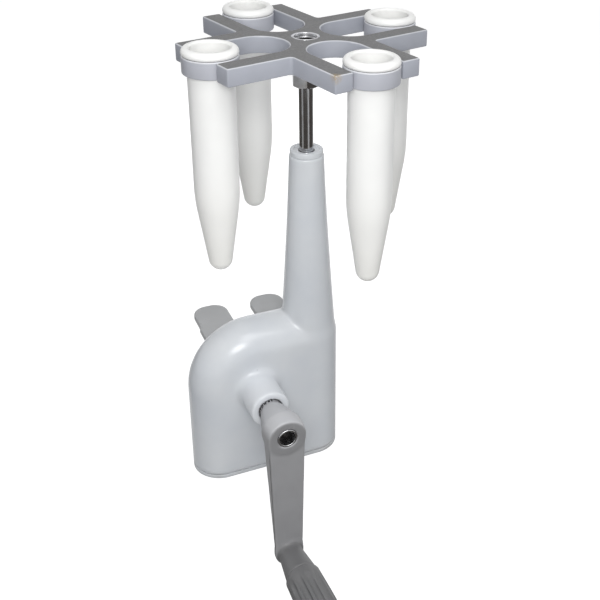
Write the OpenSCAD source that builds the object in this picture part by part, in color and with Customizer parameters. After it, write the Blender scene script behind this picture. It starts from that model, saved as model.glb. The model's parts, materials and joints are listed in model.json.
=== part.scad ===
// Hand-cranked centrifuge with four swing-out buckets, clamped to a table edge.
// Millimetres, +Z up. The origin lies on the table top, under the middle of the
// clamp's upper jaw. The crank faces -Y, and the table lies on the +Y side.

/* [Gear case] */
// Half depth of the gear case, and the radius of its rounded edges
case_r = 15; // [14.5:0.5:17]
// Distance from the spindle's axis to the left end of the gear case
case_left = 66; // [64:1:76]
// Height of the gear case above its underside
case_h = 86; // [83:0.5:92]
// Radius of the large curve at the top left of the gear case
case_curve_r = 35; // [28:1:36]
// Wall of the gear case
case_wall = 2.5; // [2:0.1:3]
// Thickness of the base plate
base_t = 2; // [1.5:0.1:3]
// Thread radius of the base plate's screws
base_screw_r = 1.25; // [1:0.05:1.5]
// Length of the base plate's screws
base_screw_len = 9; // [7:0.5:11]

/* [Neck] */
// Height of the neck's top above the underside of the gear case
neck_h = 174; // [160:0.5:180]
// Radius of the neck at its top
neck_top_r = 8.7; // [8:0.1:10]
// Radius of the neck where it leaves the gear case
neck_base_r = 14.8; // [13.8:0.1:14.8]
// Radius of the cap ring on the neck
neck_cap_r = 8.2; // [7:0.1:8.4]
// Thickness of the cap ring on the neck
neck_cap_t = 2.8; // [2:0.1:4]

/* [Spindle and rotor] */
// Radius of the spindle
spindle_r = 3.5; // [3.3:0.05:3.6]
// Height of the rotor's top face above the underside of the gear case
rotor_h = 232.9; // [230:0.1:240]
// Thickness of the rotor
rotor_t = 8.3; // [7.5:0.1:10]
// Half width of each rotor arm
arm_half_w = 23; // [21:0.5:25]
// Distance from the spindle's axis to the ends of the rotor arms
arm_reach = 55.2; // [54:0.2:60]
// Distance from the spindle's axis to the round end of each pocket
pocket_centre = 25; // [24:0.5:30]
// Turn of the rotor about the spindle at rest, in degrees
rotor_turn = 13.5; // [0:0.5:90]
// Distance across the flats of the nut under the rotor
nut_af = 12.5; // [11:0.1:13]
// Height of the nut under the rotor
nut_h = 15.5; // [12:0.5:20]

/* [Buckets] */
// Distance from the spindle's axis to each bucket's axis
bucket_reach = 50.2; // [49:0.2:51]
// Outside radius of a bucket's tube
bucket_r = 10.5; // [10:0.1:10.8]
// Radius of the bore that takes a sample tube
bucket_bore_r = 9; // [8:0.1:9.4]
// Radius of a bucket's rim, and of its carrier ring
rim_r = 12.7; // [12.2:0.1:13.2]
// Height of a bucket's rim above the carrier ring
rim_t = 3.5; // [3:0.1:5]
// Length of a bucket below its rim
bucket_len = 106.5; // [95:0.5:106.5]
// Length of a bucket's cone
bucket_cone_len = 33; // [25:1:40]
// Radius at the lower end of a bucket's cone
bucket_tip_r = 4.9; // [4:0.1:5.5]
// Depth of a bucket's rounded tip
bucket_tip_len = 3.3; // [2.5:0.1:4.5]
// Height of a carrier ring
ring_h = 8; // [7:0.1:9]
// Radius of a carrier ring's two trunnions
trunnion_r = 2; // [1.5:0.1:2.4]
// Length of a trunnion in its bore
trunnion_len = 5; // [3.5:0.1:6]

/* [Gears] */
// Distance between the spindle's axis and the crank's axis
gear_centres = 33.5; // [32:0.5:34]
// Distance of the crank's axis below the top of the gear case
crank_h = 33; // [32:0.5:36]
// Pitch radius of the worm on the spindle
worm_r = 6.5; // [6.3:0.1:6.8]
// Length of the worm's threads
worm_len = 22; // [16:1:26]
// Width of the worm wheel's teeth
wheel_w = 9; // [7:0.5:10]

/* [Crank] */
// Radius of the crank's shaft
crank_shaft_r = 4; // [3.6:0.1:4.2]
// Distance from the crank's axis to the handle's axis
crank_throw = 74; // [64:1:74]
// Distance from the spindle's axis to the front face of the crank arm
crank_front = 59; // [58:0.5:64]
// Thickness of the crank arm at its hub
crank_arm_t = 9.5; // [6.5:0.1:11]
// Largest radius of the crank's hub
crank_hub_r = 10.3; // [10:0.1:12]
// Thickness of the crank arm at its handle
crank_arm_end_t = 3.5; // [3:0.1:3.7]
// Radius of the crank's hub at its front face
crank_hub_front_r = 9.4; // [8.9:0.1:10]
// Half width of the crank arm at its hub
crank_arm_r1 = 9.2; // [8.4:0.1:9.5]
// Half width of the crank arm at its handle
crank_arm_r2 = 7.2; // [6:0.1:7.4]
// Wall of the hollow on the back of the crank arm
crank_arm_wall = 2; // [1.6:0.1:2.4]
// Radius of the boss on the gear case that the crank's hub turns in
boss_r = 10; // [8.8:0.1:11]
// Length of that boss in front of the gear case
boss_len = 20; // [16:0.5:22]

/* [Handle] */
// Radius of the handle's pin
handle_pin_r = 3; // [2.5:0.1:3.4]
// Length of the smooth boss between the crank arm and the grip
handle_boss_len = 18; // [10:0.5:20]
// Radius of that smooth boss next to the grip
handle_boss_r = 8.3; // [7:0.1:8.4]
// Length of the grip
grip_len = 60; // [45:1:80]
// Largest radius of the grip
grip_r = 9.7; // [9.2:0.1:11]
// Radius of the grip at its ends
grip_end_r = 9; // [8.5:0.1:9]
// Number of grooves round the grip
grip_grooves = 12; // [8:1:14]
// Depth of the grooves round the grip
grip_groove_depth = 0.9; // [0.5:0.1:1.2]

/* [Table clamp] */
// Distance across the clamp from its middle to the spindle's axis
clamp_offset = 24; // [22:0.5:28]
// Height of the table top above the underside of the gear case
jaw_height = 62.5; // [58:0.5:66]
// Thickness of the upper jaw
jaw_t = 4; // [3.5:0.1:6]
// Width of each finger of the upper jaw
finger_w = 19; // [16:0.5:22]
// Gap between the two fingers
finger_gap = 13.5; // [10:0.5:18]
// Distance that the fingers reach past the table's edge
finger_reach = 33.5; // [26:0.5:36]
// Depth of the solid part of the upper jaw past the table's edge
jaw_web = 12; // [8:0.5:14]
// Thickness of the bracket's back plate
bracket_t = 5; // [4:0.1:7]
// Thickness of the bracket's lower arm
lower_arm_t = 10; // [8:0.5:12]
// Width of the bracket's lower arm
lower_arm_w = 24; // [22:0.5:26]
// Radius of the clamp's screw
clamp_screw_r = 5; // [4:0.1:6]
// Distance from the table's edge to the clamp's screw
clamp_screw_reach = 16; // [14:0.5:18]
// Table thickness at which the clamp is drawn
table_t = 22; // [18:1:26]
// Radius of the clamp's pad
pad_r = 10; // [8:0.5:12]
// Thickness of the clamp's pad
pad_t = 5; // [4:0.5:7]
// Length of the clamp's tommy bar
bar_len = 52; // [40:1:70]
// Radius of the clamp's tommy bar
bar_r = 2.5; // [2:0.1:3]
// Travel of the clamp above and below the place where it is drawn
clamp_travel = 12; // [8:1:12]

/* [Fits] */
// Radial gap of a bearing or a pivot
run_gap = 0.05; // [0.03:0.01:0.1]
// Radial gap of pieces that are fixed to each other
seat_gap = 0.02; // [0.01:0.01:0.05]
// End play between pieces that move past each other
end_play = 0.3; // [0.2:0.05:0.5]

/* [Hidden] */
$fn = 64;

// Colours, as the object shows them
paint_grey = [0.77, 0.79, 0.81];
plastic_grey = [0.55, 0.55, 0.56];
rotor_grey = [0.58, 0.59, 0.62];
bucket_white = [0.97, 0.97, 0.96];
steel = [0.75, 0.76, 0.78];
bronze = [0.72, 0.55, 0.33];
brass = [0.83, 0.69, 0.36];

// Overshoot of a cut past the face that it opens
cut = 1;
// Facets of the rounded gear case
case_fn = 32;

// Height of the crank's axis above the underside of the gear case
crank_z = case_h - crank_h;

// Places in the part's frame
table_edge_y = -jaw_web / 2;
spindle_y = table_edge_y - bracket_t - case_r;
base_z = -jaw_height;

// Gear case
inner_r = case_r - case_wall;
left_x = -(case_left - case_r);
curve_x = -(case_left - case_curve_r);
curve_z = case_h - case_curve_r;
post_wall = 2.25;
post_floor = 4;
post_sink = 1;
post_r = base_screw_r + post_wall;
post_h = base_screw_len + post_floor;
post_y = inner_r - post_r + post_sink;
post_x = [left_x - 3, -20];
base_head_r = 2 * base_screw_r;

// Neck and its bearings
neck_root = 3;
neck_from = case_h - case_r - neck_root;
neck_flare = 1.25;
neck_steps = 8;
bush_wall = 2;
upper_bush_r = spindle_r + bush_wall;
upper_bush_len = 18;
neck_wall = 3;
neck_shoulder = 3;
neck_cavity_top = neck_h - upper_bush_len - neck_shoulder;
spindle_clear_r = spindle_r + 0.6;
foot_wall = 2.5;
foot_r = spindle_r + foot_wall;
foot_flange_r = foot_r + 2;
foot_flange_t = 2;
foot_h = 12;
ball_r = spindle_r - 0.25;
foot_floor = base_t + 2;
spindle_foot = foot_floor + 2 * ball_r;

// Gears: a four-start worm drives the spindle at nine turns to one of the crank
wheel_teeth = 36;
worm_starts = 4;
pressure_angle = 20;
wheel_r = gear_centres - worm_r;
axial_pitch = 2 * PI * wheel_r / wheel_teeth;
worm_lead = axial_pitch * worm_starts;
lead_angle = atan(worm_lead / (2 * PI * worm_r));
tooth_addendum = 0.245 * axial_pitch;
tooth_dedendum = 0.325 * axial_pitch;
tooth_t = 0.43 * axial_pitch;
flank_slope = tan(pressure_angle) / cos(lead_angle);
worm_root_r = worm_r - tooth_dedendum;
worm_slice = 12;
worm_points = 6;
worm_collar = 6;
gear_pin_r = 1;
gear_pin_short = 0.5;
tooth_sink = 0.5;
worm_collar_r = worm_root_r - 0.1;
wheel_hub_r = crank_shaft_r + 4;
wheel_hub_len = 6;
wheel_root_r = wheel_r - tooth_dedendum;
wheel_hole_r = 4;

// Crank bearings, along the crank's axis from the spindle's axis to the front
crank_bush_r = crank_shaft_r + 1.5;
bush_back = -(case_r - 2);
rear_bush_front = -(wheel_w / 2 + end_play);
rear_pad = -(wheel_w / 2 + 2);
pad_boss_r = crank_bush_r + 3;
hub_end = wheel_w / 2 + wheel_hub_len;
front_bush_back = hub_end + end_play;
boss_front = case_r + boss_len;
boss_fillet = 6.5;
boss_round = 1.2;
mouth_depth = 5;
nose_r = crank_bush_r;
mouth_r = nose_r + 0.8;
nose_back = boss_front - mouth_depth + end_play;

// Crank arm and handle
arm_back = crank_front - crank_arm_t;
arm_end_back = crank_front - crank_arm_end_t;
sleeve_r = crank_shaft_r + 1;
sleeve_proud = 0.4;
shaft_recess = 7;
hub_wide = crank_front - 8;
grub_r = 1.5;
grub_len = 2.2;
grub_z = arm_back - 8;
channel_depth = crank_arm_t - crank_arm_wall;
channel_top = crank_hub_r + 2;
channel_bottom = crank_throw - crank_arm_r2 - 2;
handle_root_r = crank_arm_r2 - 1.1;
handle_front = crank_front + handle_boss_len;
grip_back = handle_front + end_play;
grip_front = grip_back + grip_len;
pin_head_r = handle_pin_r + 2;
pin_head_t = 3;
grip_swell = 0.45;
grip_round = 2;
groove_r = 1.8;

// Rotor
rotor_mid = rotor_h - rotor_t / 2;
rotor_under = rotor_h - rotor_t;
pocket_r = rim_r + 0.8;
journal_r = spindle_r - 0.5;
rotor_bush_r = journal_r + 3.1;
dish_r = rotor_bush_r - 0.6;
dish_depth = 2;
screw_head_r = journal_r + 1.7;
screw_head_h = 2.5;
screw_sink = 1.5;
screw_seat = rotor_h - dish_depth - screw_sink - screw_head_h;
screw_r = journal_r - 1;
screw_len = 10;
screw_spare = 1;
socket_r = 1.9;
socket_depth = 1.8;
trunnion_end = pocket_r + trunnion_len;

// Buckets
ring_top = rotor_mid + ring_h / 2;
ring_bottom = rotor_mid - ring_h / 2;
bucket_bottom = ring_top - bucket_len;
cone_bottom = bucket_bottom + bucket_tip_len;
cone_top = cone_bottom + bucket_cone_len;
bucket_wall = bucket_r - bucket_bore_r;
bore_tip_r = bucket_tip_r - bucket_wall;
bore_tip_len = bucket_tip_len - bucket_wall / 2;
rim_foot_round = 1.2;
rim_round = min(2.2, rim_t - rim_foot_round);
rim_steps = 6;
mouth_chamfer = 0.8;
tip_steps = 5;

// Table clamp
jaw_half_w = finger_gap / 2 + finger_w;
finger_corner_r = 8;
bracket_bottom = base_z + base_t + 2;
screw_y = table_edge_y + clamp_screw_reach;
pad_top = -table_t;
pad_bottom = pad_top - pad_t;
pivot_r = clamp_screw_r - 1.5;
pivot_depth = 3;
bar_cap_r = bar_r + 1.5;
bar_cap_len = 6;
bar_cap_end = 1;
bar_z = base_z - clamp_travel - bar_cap_r - 1;
screw_bottom = bar_z - bar_r - 3;
bracket_screw_r = 2;
bracket_head_r = 4;
bracket_screw_x = 16;
bracket_screw_z = [12, 32];
bracket_boss_r = bracket_screw_r + 2.5;
bracket_boss_len = 5;
bracket_screw_spare = 1;

// Frames
module at_spindle() { translate([clamp_offset, spindle_y, base_z]) children(); }
module at_crank() {
    at_spindle() translate([-gear_centres, 0, crank_z]) rotate([90, 0, 0]) children();
}
module at_handle() { at_crank() translate([0, -crank_throw, 0]) children(); }
module at_arm(i) { at_spindle() rotate([0, 0, rotor_turn + 90 * (i - 1)]) children(); }
module at_base_screws() {
    for (x = post_x, side = [-1, 1])
        at_spindle() translate([x, side * post_y, 0]) children();
}
// Bracket screws point from the table's edge towards the gear case
module at_bracket_screws() {
    for (side = [-1, 1], z = bracket_screw_z)
        translate([side * bracket_screw_x, table_edge_y, base_z + z]) rotate([90, 0, 0]) children();
}

// Shared shapes
function arc(c, r, from, to, n) =
    [for (k = [0:n]) let (a = from + (to - from) * k / n) c + r * [cos(a), sin(a)]];
// Outline round two circles on the Y axis, at 0 and at -length
function taper_outline(r1, r2, length) =
    let (lean = asin((r1 - r2) / length), n = 20)
    concat(arc([0, 0], r1, -lean, 180 + lean, n), arc([0, -length], r2, 180 + lean, 360 - lean, n));
module ring(r, bore, h) {
    difference() {
        cylinder(r = r, h = h);
        translate([0, 0, -cut]) cylinder(r = bore, h = h + 2 * cut);
    }
}
module countersunk_screw(r, head_r, length, hole = 0) {
    cylinder(r1 = head_r + hole, r2 = r + hole, h = head_r - r);
    cylinder(r = r + hole, h = length + hole);
}
// Rounded gear case, drawn in by inset
module case_form(inset, from) {
    r = case_r - inset;
    hull() {
        translate([0, 0, from]) cylinder(r = r, h = case_h - case_r - from, $fn = case_fn);
        translate([0, 0, case_h - case_r]) sphere(r = r, $fn = case_fn);
        translate([left_x, 0, from]) cylinder(r = r, h = curve_z - from, $fn = case_fn);
        translate([curve_x, 0, curve_z]) rotate([90, 0, 0])
            rotate_extrude(angle = 90, start = 90, $fn = case_fn)
                translate([case_curve_r - case_r, 0]) circle(r = r, $fn = case_fn);
    }
}

// Gear case and neck
function neck_radius(t) = neck_top_r + (neck_base_r - neck_top_r) * pow(1 - t, neck_flare);
module neck_form() {
    rotate_extrude() polygon(concat([[0, neck_from]],
        [for (k = [0:neck_steps]) let (t = k / neck_steps)
            [neck_radius(t), neck_from + (neck_h - neck_from) * t]],
        [[0, neck_h]]));
}
module boss_form() {
    rotate_extrude() polygon(concat(
        [[0, 0], [boss_r + boss_fillet, 0]],
        arc([boss_r + boss_fillet, case_r + boss_fillet], boss_fillet, 270, 180, 6),
        arc([boss_r - boss_round, boss_front - boss_round], boss_round, 0, 90, 4),
        [[0, boss_front]]));
}
module gear_housing() {
    color(paint_grey) difference() {
        union() {
            difference() {
                union() {
                    at_spindle() case_form(0, base_t);
                    at_spindle() neck_form();
                    at_crank() boss_form();
                }
                at_spindle() case_form(case_wall, base_t - cut);
                at_spindle() translate([0, 0, neck_from])
                    cylinder(r1 = neck_base_r - neck_wall, r2 = spindle_clear_r + 1,
                        h = neck_cavity_top - neck_from);
            }
            at_base_screws() translate([0, 0, base_t]) cylinder(r = post_r, h = post_h);
            at_crank() translate([0, 0, -case_r + case_wall / 2])
                cylinder(r = pad_boss_r, h = rear_pad + case_r - case_wall / 2);
            at_bracket_screws() translate([0, 0, bracket_t + case_wall / 2])
                cylinder(r = bracket_boss_r, h = bracket_boss_len + case_wall / 2);
        }
        at_spindle() translate([0, 0, neck_h - upper_bush_len])
            cylinder(r = upper_bush_r + seat_gap, h = upper_bush_len + cut);
        at_spindle() translate([0, 0, neck_cavity_top - cut])
            cylinder(r = spindle_clear_r, h = neck_shoulder + 2 * cut);
        at_crank() translate([0, 0, bush_back])
            cylinder(r = crank_bush_r + seat_gap, h = boss_front - bush_back + cut);
        at_crank() translate([0, 0, boss_front - mouth_depth])
            cylinder(r = mouth_r, h = mouth_depth + cut);
        at_base_screws() translate([0, 0, base_t - cut])
            cylinder(r = base_screw_r + seat_gap, h = base_screw_len + cut);
        at_bracket_screws() translate([0, 0, bracket_t - cut])
            cylinder(r = bracket_screw_r + seat_gap, h = case_wall + bracket_boss_len + 2 * cut);
    }
}
module base_plate() {
    color(paint_grey) difference() {
        at_spindle() linear_extrude(base_t)
            rotate([0, 0, -90]) polygon(taper_outline(case_r, case_r, -left_x));
        at_spindle() translate([0, 0, -cut]) cylinder(r = foot_r + seat_gap, h = base_t + 2 * cut);
        at_base_screws() countersunk_screw(base_screw_r, base_head_r, base_screw_len, seat_gap);
        at_base_screws() translate([0, 0, -cut]) cylinder(r = base_head_r + seat_gap, h = cut);
    }
}
module base_screws() {
    color(steel) at_base_screws() countersunk_screw(base_screw_r, base_head_r, base_screw_len - seat_gap);
}
module neck_cap() {
    color(paint_grey) at_spindle() translate([0, 0, neck_h])
        ring(neck_cap_r, spindle_clear_r, neck_cap_t);
}
module upper_bush() {
    color(bronze) at_spindle() translate([0, 0, neck_h - upper_bush_len])
        ring(upper_bush_r, spindle_r + run_gap, upper_bush_len);
}
module foot_bearing() {
    color(bronze) at_spindle() difference() {
        union() {
            translate([0, 0, seat_gap]) cylinder(r = foot_r, h = foot_h);
            translate([0, 0, base_t]) cylinder(r = foot_flange_r, h = foot_flange_t);
        }
        translate([0, 0, foot_floor]) cylinder(r = spindle_r + run_gap, h = foot_h);
    }
}
module thrust_ball() {
    color(steel) at_spindle() translate([0, 0, foot_floor + ball_r]) sphere(r = ball_r);
}
module crank_bush_front() {
    color(bronze) at_crank() translate([0, 0, front_bush_back])
        ring(crank_bush_r, crank_shaft_r + run_gap, boss_front - mouth_depth - front_bush_back);
}
module crank_bush_rear() {
    color(bronze) at_crank() translate([0, 0, bush_back])
        ring(crank_bush_r, crank_shaft_r + run_gap, rear_bush_front - bush_back);
}

// Table clamp
module jaw_outline() {
    tip_y = table_edge_y + finger_reach;
    r = finger_corner_r;
    inner = finger_gap / 2;
    web_y = table_edge_y + jaw_web;
    half = concat(
        [[0, table_edge_y - bracket_t], [jaw_half_w, table_edge_y - bracket_t]],
        arc([jaw_half_w - r, tip_y - r], r, 0, 90, 8),
        arc([inner + r, tip_y - r], r, 90, 180, 8),
        [[inner, web_y], [0, web_y]]);
    polygon(half);
    mirror([1, 0]) polygon(half);
}
module clamp_bracket() {
    color(plastic_grey) difference() {
        union() {
            linear_extrude(jaw_t) jaw_outline();
            translate([-jaw_half_w, table_edge_y - bracket_t, bracket_bottom])
                cube([2 * jaw_half_w, bracket_t, -bracket_bottom]);
            translate([-lower_arm_w / 2, table_edge_y - bracket_t, bracket_bottom])
                cube([lower_arm_w, screw_y - table_edge_y + bracket_t, lower_arm_t]);
            translate([0, screw_y, bracket_bottom]) cylinder(r = lower_arm_w / 2, h = lower_arm_t);
        }
        translate([0, screw_y, bracket_bottom - cut])
            cylinder(r = clamp_screw_r + run_gap, h = lower_arm_t + 2 * cut);
        at_bracket_screws() countersunk_screw(bracket_screw_r, bracket_head_r,
            bracket_t + cut, seat_gap);
        at_bracket_screws() translate([0, 0, -cut]) cylinder(r = bracket_head_r + seat_gap, h = cut);
    }
}
module bracket_screws() {
    color(steel) at_bracket_screws() countersunk_screw(bracket_screw_r, bracket_head_r,
        bracket_t + case_wall + bracket_boss_len - bracket_screw_spare);
}
module clamp_pad() {
    color(steel) translate([0, screw_y, pad_bottom]) difference() {
        cylinder(r = pad_r, h = pad_t);
        translate([0, 0, -cut]) cylinder(r = pivot_r + run_gap, h = pivot_depth + cut + seat_gap);
    }
}
module clamp_screw() {
    color(steel) difference() {
        union() {
            translate([0, screw_y, screw_bottom])
                cylinder(r = clamp_screw_r, h = pad_bottom - screw_bottom - seat_gap);
            translate([0, screw_y, pad_bottom - cut]) cylinder(r = pivot_r, h = pivot_depth + cut);
        }
        translate([0, screw_y, bar_z]) rotate([0, 90, 0])
            cylinder(r = bar_r + seat_gap, h = 4 * clamp_screw_r, center = true);
    }
}
module clamp_bar() {
    color(steel) translate([0, screw_y, bar_z]) rotate([0, 90, 0])
        cylinder(r = bar_r, h = bar_len, center = true);
}
module clamp_bar_caps() {
    color(plastic_grey) for (side = [0, 1]) translate([0, screw_y, bar_z])
        rotate([0, 90, 180 * side]) translate([0, 0, bar_len / 2 - bar_cap_len + bar_cap_end])
        difference() {
            cylinder(r = bar_cap_r, h = bar_cap_len);
            translate([0, 0, -cut]) cylinder(r = bar_r + seat_gap, h = bar_cap_len - bar_cap_end + cut);
        }
}

// Crank
module wheel_tooth() {
    function half_t(h) = cos(lead_angle) * (tooth_t / 2 - h * flank_slope);
    root = -tooth_dedendum - tooth_sink;
    polygon([[root, -half_t(root)], [tooth_addendum, -half_t(tooth_addendum)],
        [tooth_addendum, half_t(tooth_addendum)], [root, half_t(root)]]);
}
module worm_wheel() {
    color(brass) at_crank() difference() {
        union() {
            cylinder(r = wheel_root_r, h = wheel_w, center = true);
            cylinder(r = wheel_hub_r, h = hub_end);
            intersection() {
                for (k = [0:wheel_teeth - 1]) rotate([0, 0, 360 * k / wheel_teeth])
                    translate([wheel_r, 0, 0]) rotate([-lead_angle, 0, 0])
                        linear_extrude(2 * wheel_w, center = true) wheel_tooth();
                cylinder(r = wheel_r + 2 * tooth_addendum, h = wheel_w, center = true);
            }
        }
        cylinder(r = crank_shaft_r + seat_gap, h = 4 * hub_end, center = true);
        translate([0, 0, hub_end - wheel_hub_len / 2]) rotate([0, 90, 0])
            cylinder(r = gear_pin_r + seat_gap, h = 3 * wheel_hub_r, center = true);
        for (k = [0:5]) rotate([0, 0, 60 * k])
            translate([(wheel_hub_r + wheel_root_r) / 2, 0, 0])
                cylinder(r = wheel_hole_r, h = 2 * wheel_w, center = true);
    }
}
module wheel_pin() {
    color(steel) at_crank() translate([0, 0, hub_end - wheel_hub_len / 2]) rotate([0, 90, 0])
        cylinder(r = gear_pin_r, h = 2 * (wheel_hub_r - gear_pin_short), center = true);
}
module crank_shaft() {
    back = bush_back + end_play;
    color(steel) at_crank() difference() {
        translate([0, 0, back]) cylinder(r = crank_shaft_r, h = crank_front - shaft_recess - back);
        translate([0, 0, hub_end - wheel_hub_len / 2]) rotate([0, 90, 0])
            cylinder(r = gear_pin_r + seat_gap, h = 4 * crank_shaft_r, center = true);
    }
}
module crank_sleeve() {
    color(steel) at_crank() difference() {
        translate([0, 0, nose_back])
            ring(sleeve_r, crank_shaft_r + seat_gap, crank_front + sleeve_proud - nose_back);
        at_grub() cylinder(r = grub_r + seat_gap, h = 2 * crank_hub_r);
    }
}
module at_grub() { translate([0, 0, grub_z]) rotate([90, 0, 0]) children(); }
module crank_grub_screw() {
    color(steel) at_crank() at_grub() translate([0, 0, crank_shaft_r + seat_gap])
        cylinder(r = grub_r, h = grub_len);
}
module crank_arm() {
    past_end = crank_throw + 2 * crank_arm_r2;
    color(plastic_grey) difference() {
        union() {
            at_crank() translate([0, 0, nose_back]) cylinder(r = nose_r, h = mouth_depth);
            at_crank() translate([0, 0, boss_front])
                cylinder(r1 = nose_r, r2 = crank_hub_r, h = hub_wide - boss_front);
            at_crank() translate([0, 0, hub_wide])
                cylinder(r1 = crank_hub_r, r2 = crank_hub_front_r, h = crank_front - hub_wide);
            at_crank() translate([0, 0, arm_back]) linear_extrude(crank_arm_t)
                polygon(taper_outline(crank_arm_r1, crank_arm_r2, crank_throw));
            at_handle() translate([0, 0, crank_front])
                cylinder(r1 = handle_root_r, r2 = handle_boss_r, h = handle_boss_len);
        }
        // Slope of the arm's back towards the handle
        at_crank() translate([-crank_hub_r, 0, 0]) rotate([90, 0, 90])
            linear_extrude(2 * crank_hub_r) polygon([
                [-crank_hub_r, arm_back - cut], [-crank_hub_r, arm_back],
                [crank_arm_r2 - crank_throw, arm_end_back], [-past_end, arm_end_back],
                [-past_end, arm_back - cut]]);
        at_crank() translate([0, -channel_top, arm_back - cut]) linear_extrude(channel_depth + cut)
            polygon([
                [-(crank_arm_r1 - crank_arm_wall), 0], [crank_arm_r1 - crank_arm_wall, 0],
                [crank_arm_r2 - crank_arm_wall, channel_top - channel_bottom],
                [-(crank_arm_r2 - crank_arm_wall), channel_top - channel_bottom]]);
        at_crank() cylinder(r = sleeve_r + seat_gap, h = crank_front + cut);
        at_crank() at_grub() cylinder(r = grub_r + seat_gap, h = 2 * crank_hub_r);
        at_handle() translate([0, 0, arm_end_back - cut])
            cylinder(r = handle_pin_r + seat_gap, h = handle_front - arm_end_back + 2 * cut);
    }
}
module handle_pin() {
    color(steel) at_handle() {
        translate([0, 0, arm_end_back])
            cylinder(r = handle_pin_r, h = grip_front - pin_head_t - arm_end_back + cut);
        translate([0, 0, grip_front - pin_head_t + end_play]) cylinder(r = pin_head_r, h = pin_head_t);
    }
}
module grip_outline() {
    swell_z = grip_back + grip_swell * grip_len;
    polygon(concat(
        [[0, grip_back], [grip_end_r - grip_round / 2, grip_back],
         [grip_end_r, grip_back + grip_round / 2], [grip_r, swell_z]],
        arc([grip_end_r - grip_round, grip_front - grip_round], grip_round, 0, 90, 4),
        [[0, grip_front]]));
}
module handle_grip() {
    color(plastic_grey) at_handle() difference() {
        rotate_extrude() grip_outline();
        for (k = [0:grip_grooves - 1]) rotate([0, 0, 360 * k / grip_grooves])
            translate([grip_end_r + groove_r - grip_groove_depth, 0, grip_back + 3 * grip_round])
                cylinder(r = groove_r, h = grip_len);
        translate([0, 0, grip_back - cut]) cylinder(r = handle_pin_r + run_gap, h = grip_len + 2 * cut);
        translate([0, 0, grip_front - pin_head_t])
            cylinder(r = pin_head_r + end_play, h = pin_head_t + cut);
    }
}

// Spindle and rotor
module spindle() {
    color(steel) at_spindle() difference() {
        union() {
            translate([0, 0, spindle_foot]) cylinder(r = spindle_r, h = rotor_under - spindle_foot);
            translate([0, 0, rotor_under - cut])
                cylinder(r = journal_r, h = screw_seat - rotor_under + cut);
        }
        translate([0, 0, screw_seat - screw_len]) cylinder(r = screw_r + seat_gap, h = screw_len + cut);
        at_worm_pin() cylinder(r = gear_pin_r + seat_gap, h = 4 * spindle_r, center = true);
    }
}
module at_worm_pin() {
    translate([0, 0, crank_z + worm_len / 2 + worm_collar / 2]) rotate([0, 90, 0]) children();
}
module worm_section() {
    function half_turn(h) = (tooth_t / 2 - h * flank_slope) / worm_lead * 360;
    function at(r, a) = r * [cos(a), sin(a)];
    root_turn = half_turn(-tooth_dedendum);
    tip_turn = half_turn(tooth_addendum);
    tip_r = worm_r + tooth_addendum;
    polygon([for (s = [0:worm_starts - 1]) let (a = 360 * s / worm_starts)
        each [at(worm_root_r, a - root_turn), at(tip_r, a - tip_turn), at(tip_r, a),
            at(tip_r, a + tip_turn), at(worm_root_r, a + root_turn),
            at(worm_root_r, a + 180 / worm_starts)]]);
}
module worm() {
    turn = 360 * worm_len / worm_lead;
    color(steel) at_spindle() difference() {
        union() {
            translate([0, 0, crank_z - worm_len / 2])
                rotate([0, 0, 180 / worm_starts - turn / 2])
                    linear_extrude(worm_len, twist = -turn, slices = ceil(turn / worm_slice),
                        segments = worm_points * worm_starts) worm_section();
            translate([0, 0, crank_z + worm_len / 2 - cut])
                cylinder(r = worm_collar_r, h = worm_collar + cut);
        }
        cylinder(r = spindle_r + seat_gap, h = neck_h);
        at_worm_pin() cylinder(r = gear_pin_r + seat_gap, h = 4 * worm_r, center = true);
    }
}
module worm_pin() {
    color(steel) at_spindle() at_worm_pin()
        cylinder(r = gear_pin_r, h = 2 * (worm_root_r - gear_pin_short), center = true);
}
module rotor_nut() {
    color(steel) at_spindle() translate([0, 0, rotor_under - nut_h]) rotate([0, 0, rotor_turn])
        difference() {
            cylinder(r = nut_af / sqrt(3), h = nut_h, $fn = 6);
            translate([0, 0, -cut]) cylinder(r = spindle_r + seat_gap, h = nut_h + 2 * cut);
        }
}
module rotor_cross() {
    color(rotor_grey) difference() {
        for (i = [1, 2]) at_arm(i) translate([-arm_reach, -arm_half_w, rotor_under])
            cube([2 * arm_reach, 2 * arm_half_w, rotor_t]);
        for (i = [1:4]) at_arm(i) {
            translate([pocket_centre, 0, rotor_under - cut]) cylinder(r = pocket_r, h = rotor_t + 2 * cut);
            translate([pocket_centre, -pocket_r, rotor_under - cut])
                cube([arm_reach, 2 * pocket_r, rotor_t + 2 * cut]);
            translate([bucket_reach, 0, rotor_mid]) rotate([90, 0, 0])
                cylinder(r = trunnion_r + run_gap, h = 2 * (trunnion_end + end_play), center = true);
        }
        at_spindle() translate([0, 0, rotor_under - cut])
            cylinder(r = rotor_bush_r + seat_gap, h = rotor_t + 2 * cut);
    }
}
module rotor_bush() {
    color(steel) at_spindle() difference() {
        translate([0, 0, rotor_under]) cylinder(r = rotor_bush_r, h = rotor_t);
        translate([0, 0, rotor_under - cut]) cylinder(r = journal_r + seat_gap, h = rotor_t + 2 * cut);
        translate([0, 0, screw_seat]) cylinder(r = screw_head_r + seat_gap, h = rotor_t);
        translate([0, 0, rotor_h - dish_depth]) cylinder(r = dish_r, h = dish_depth + cut);
    }
}
module rotor_screw() {
    color(steel) at_spindle() difference() {
        union() {
            translate([0, 0, screw_seat]) cylinder(r = screw_head_r, h = screw_head_h);
            translate([0, 0, screw_seat - screw_len + screw_spare]) cylinder(r = screw_r, h = screw_len);
        }
        translate([0, 0, screw_seat + screw_head_h - socket_depth])
            cylinder(r = socket_r, h = socket_depth + cut, $fn = 6);
    }
}

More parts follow.
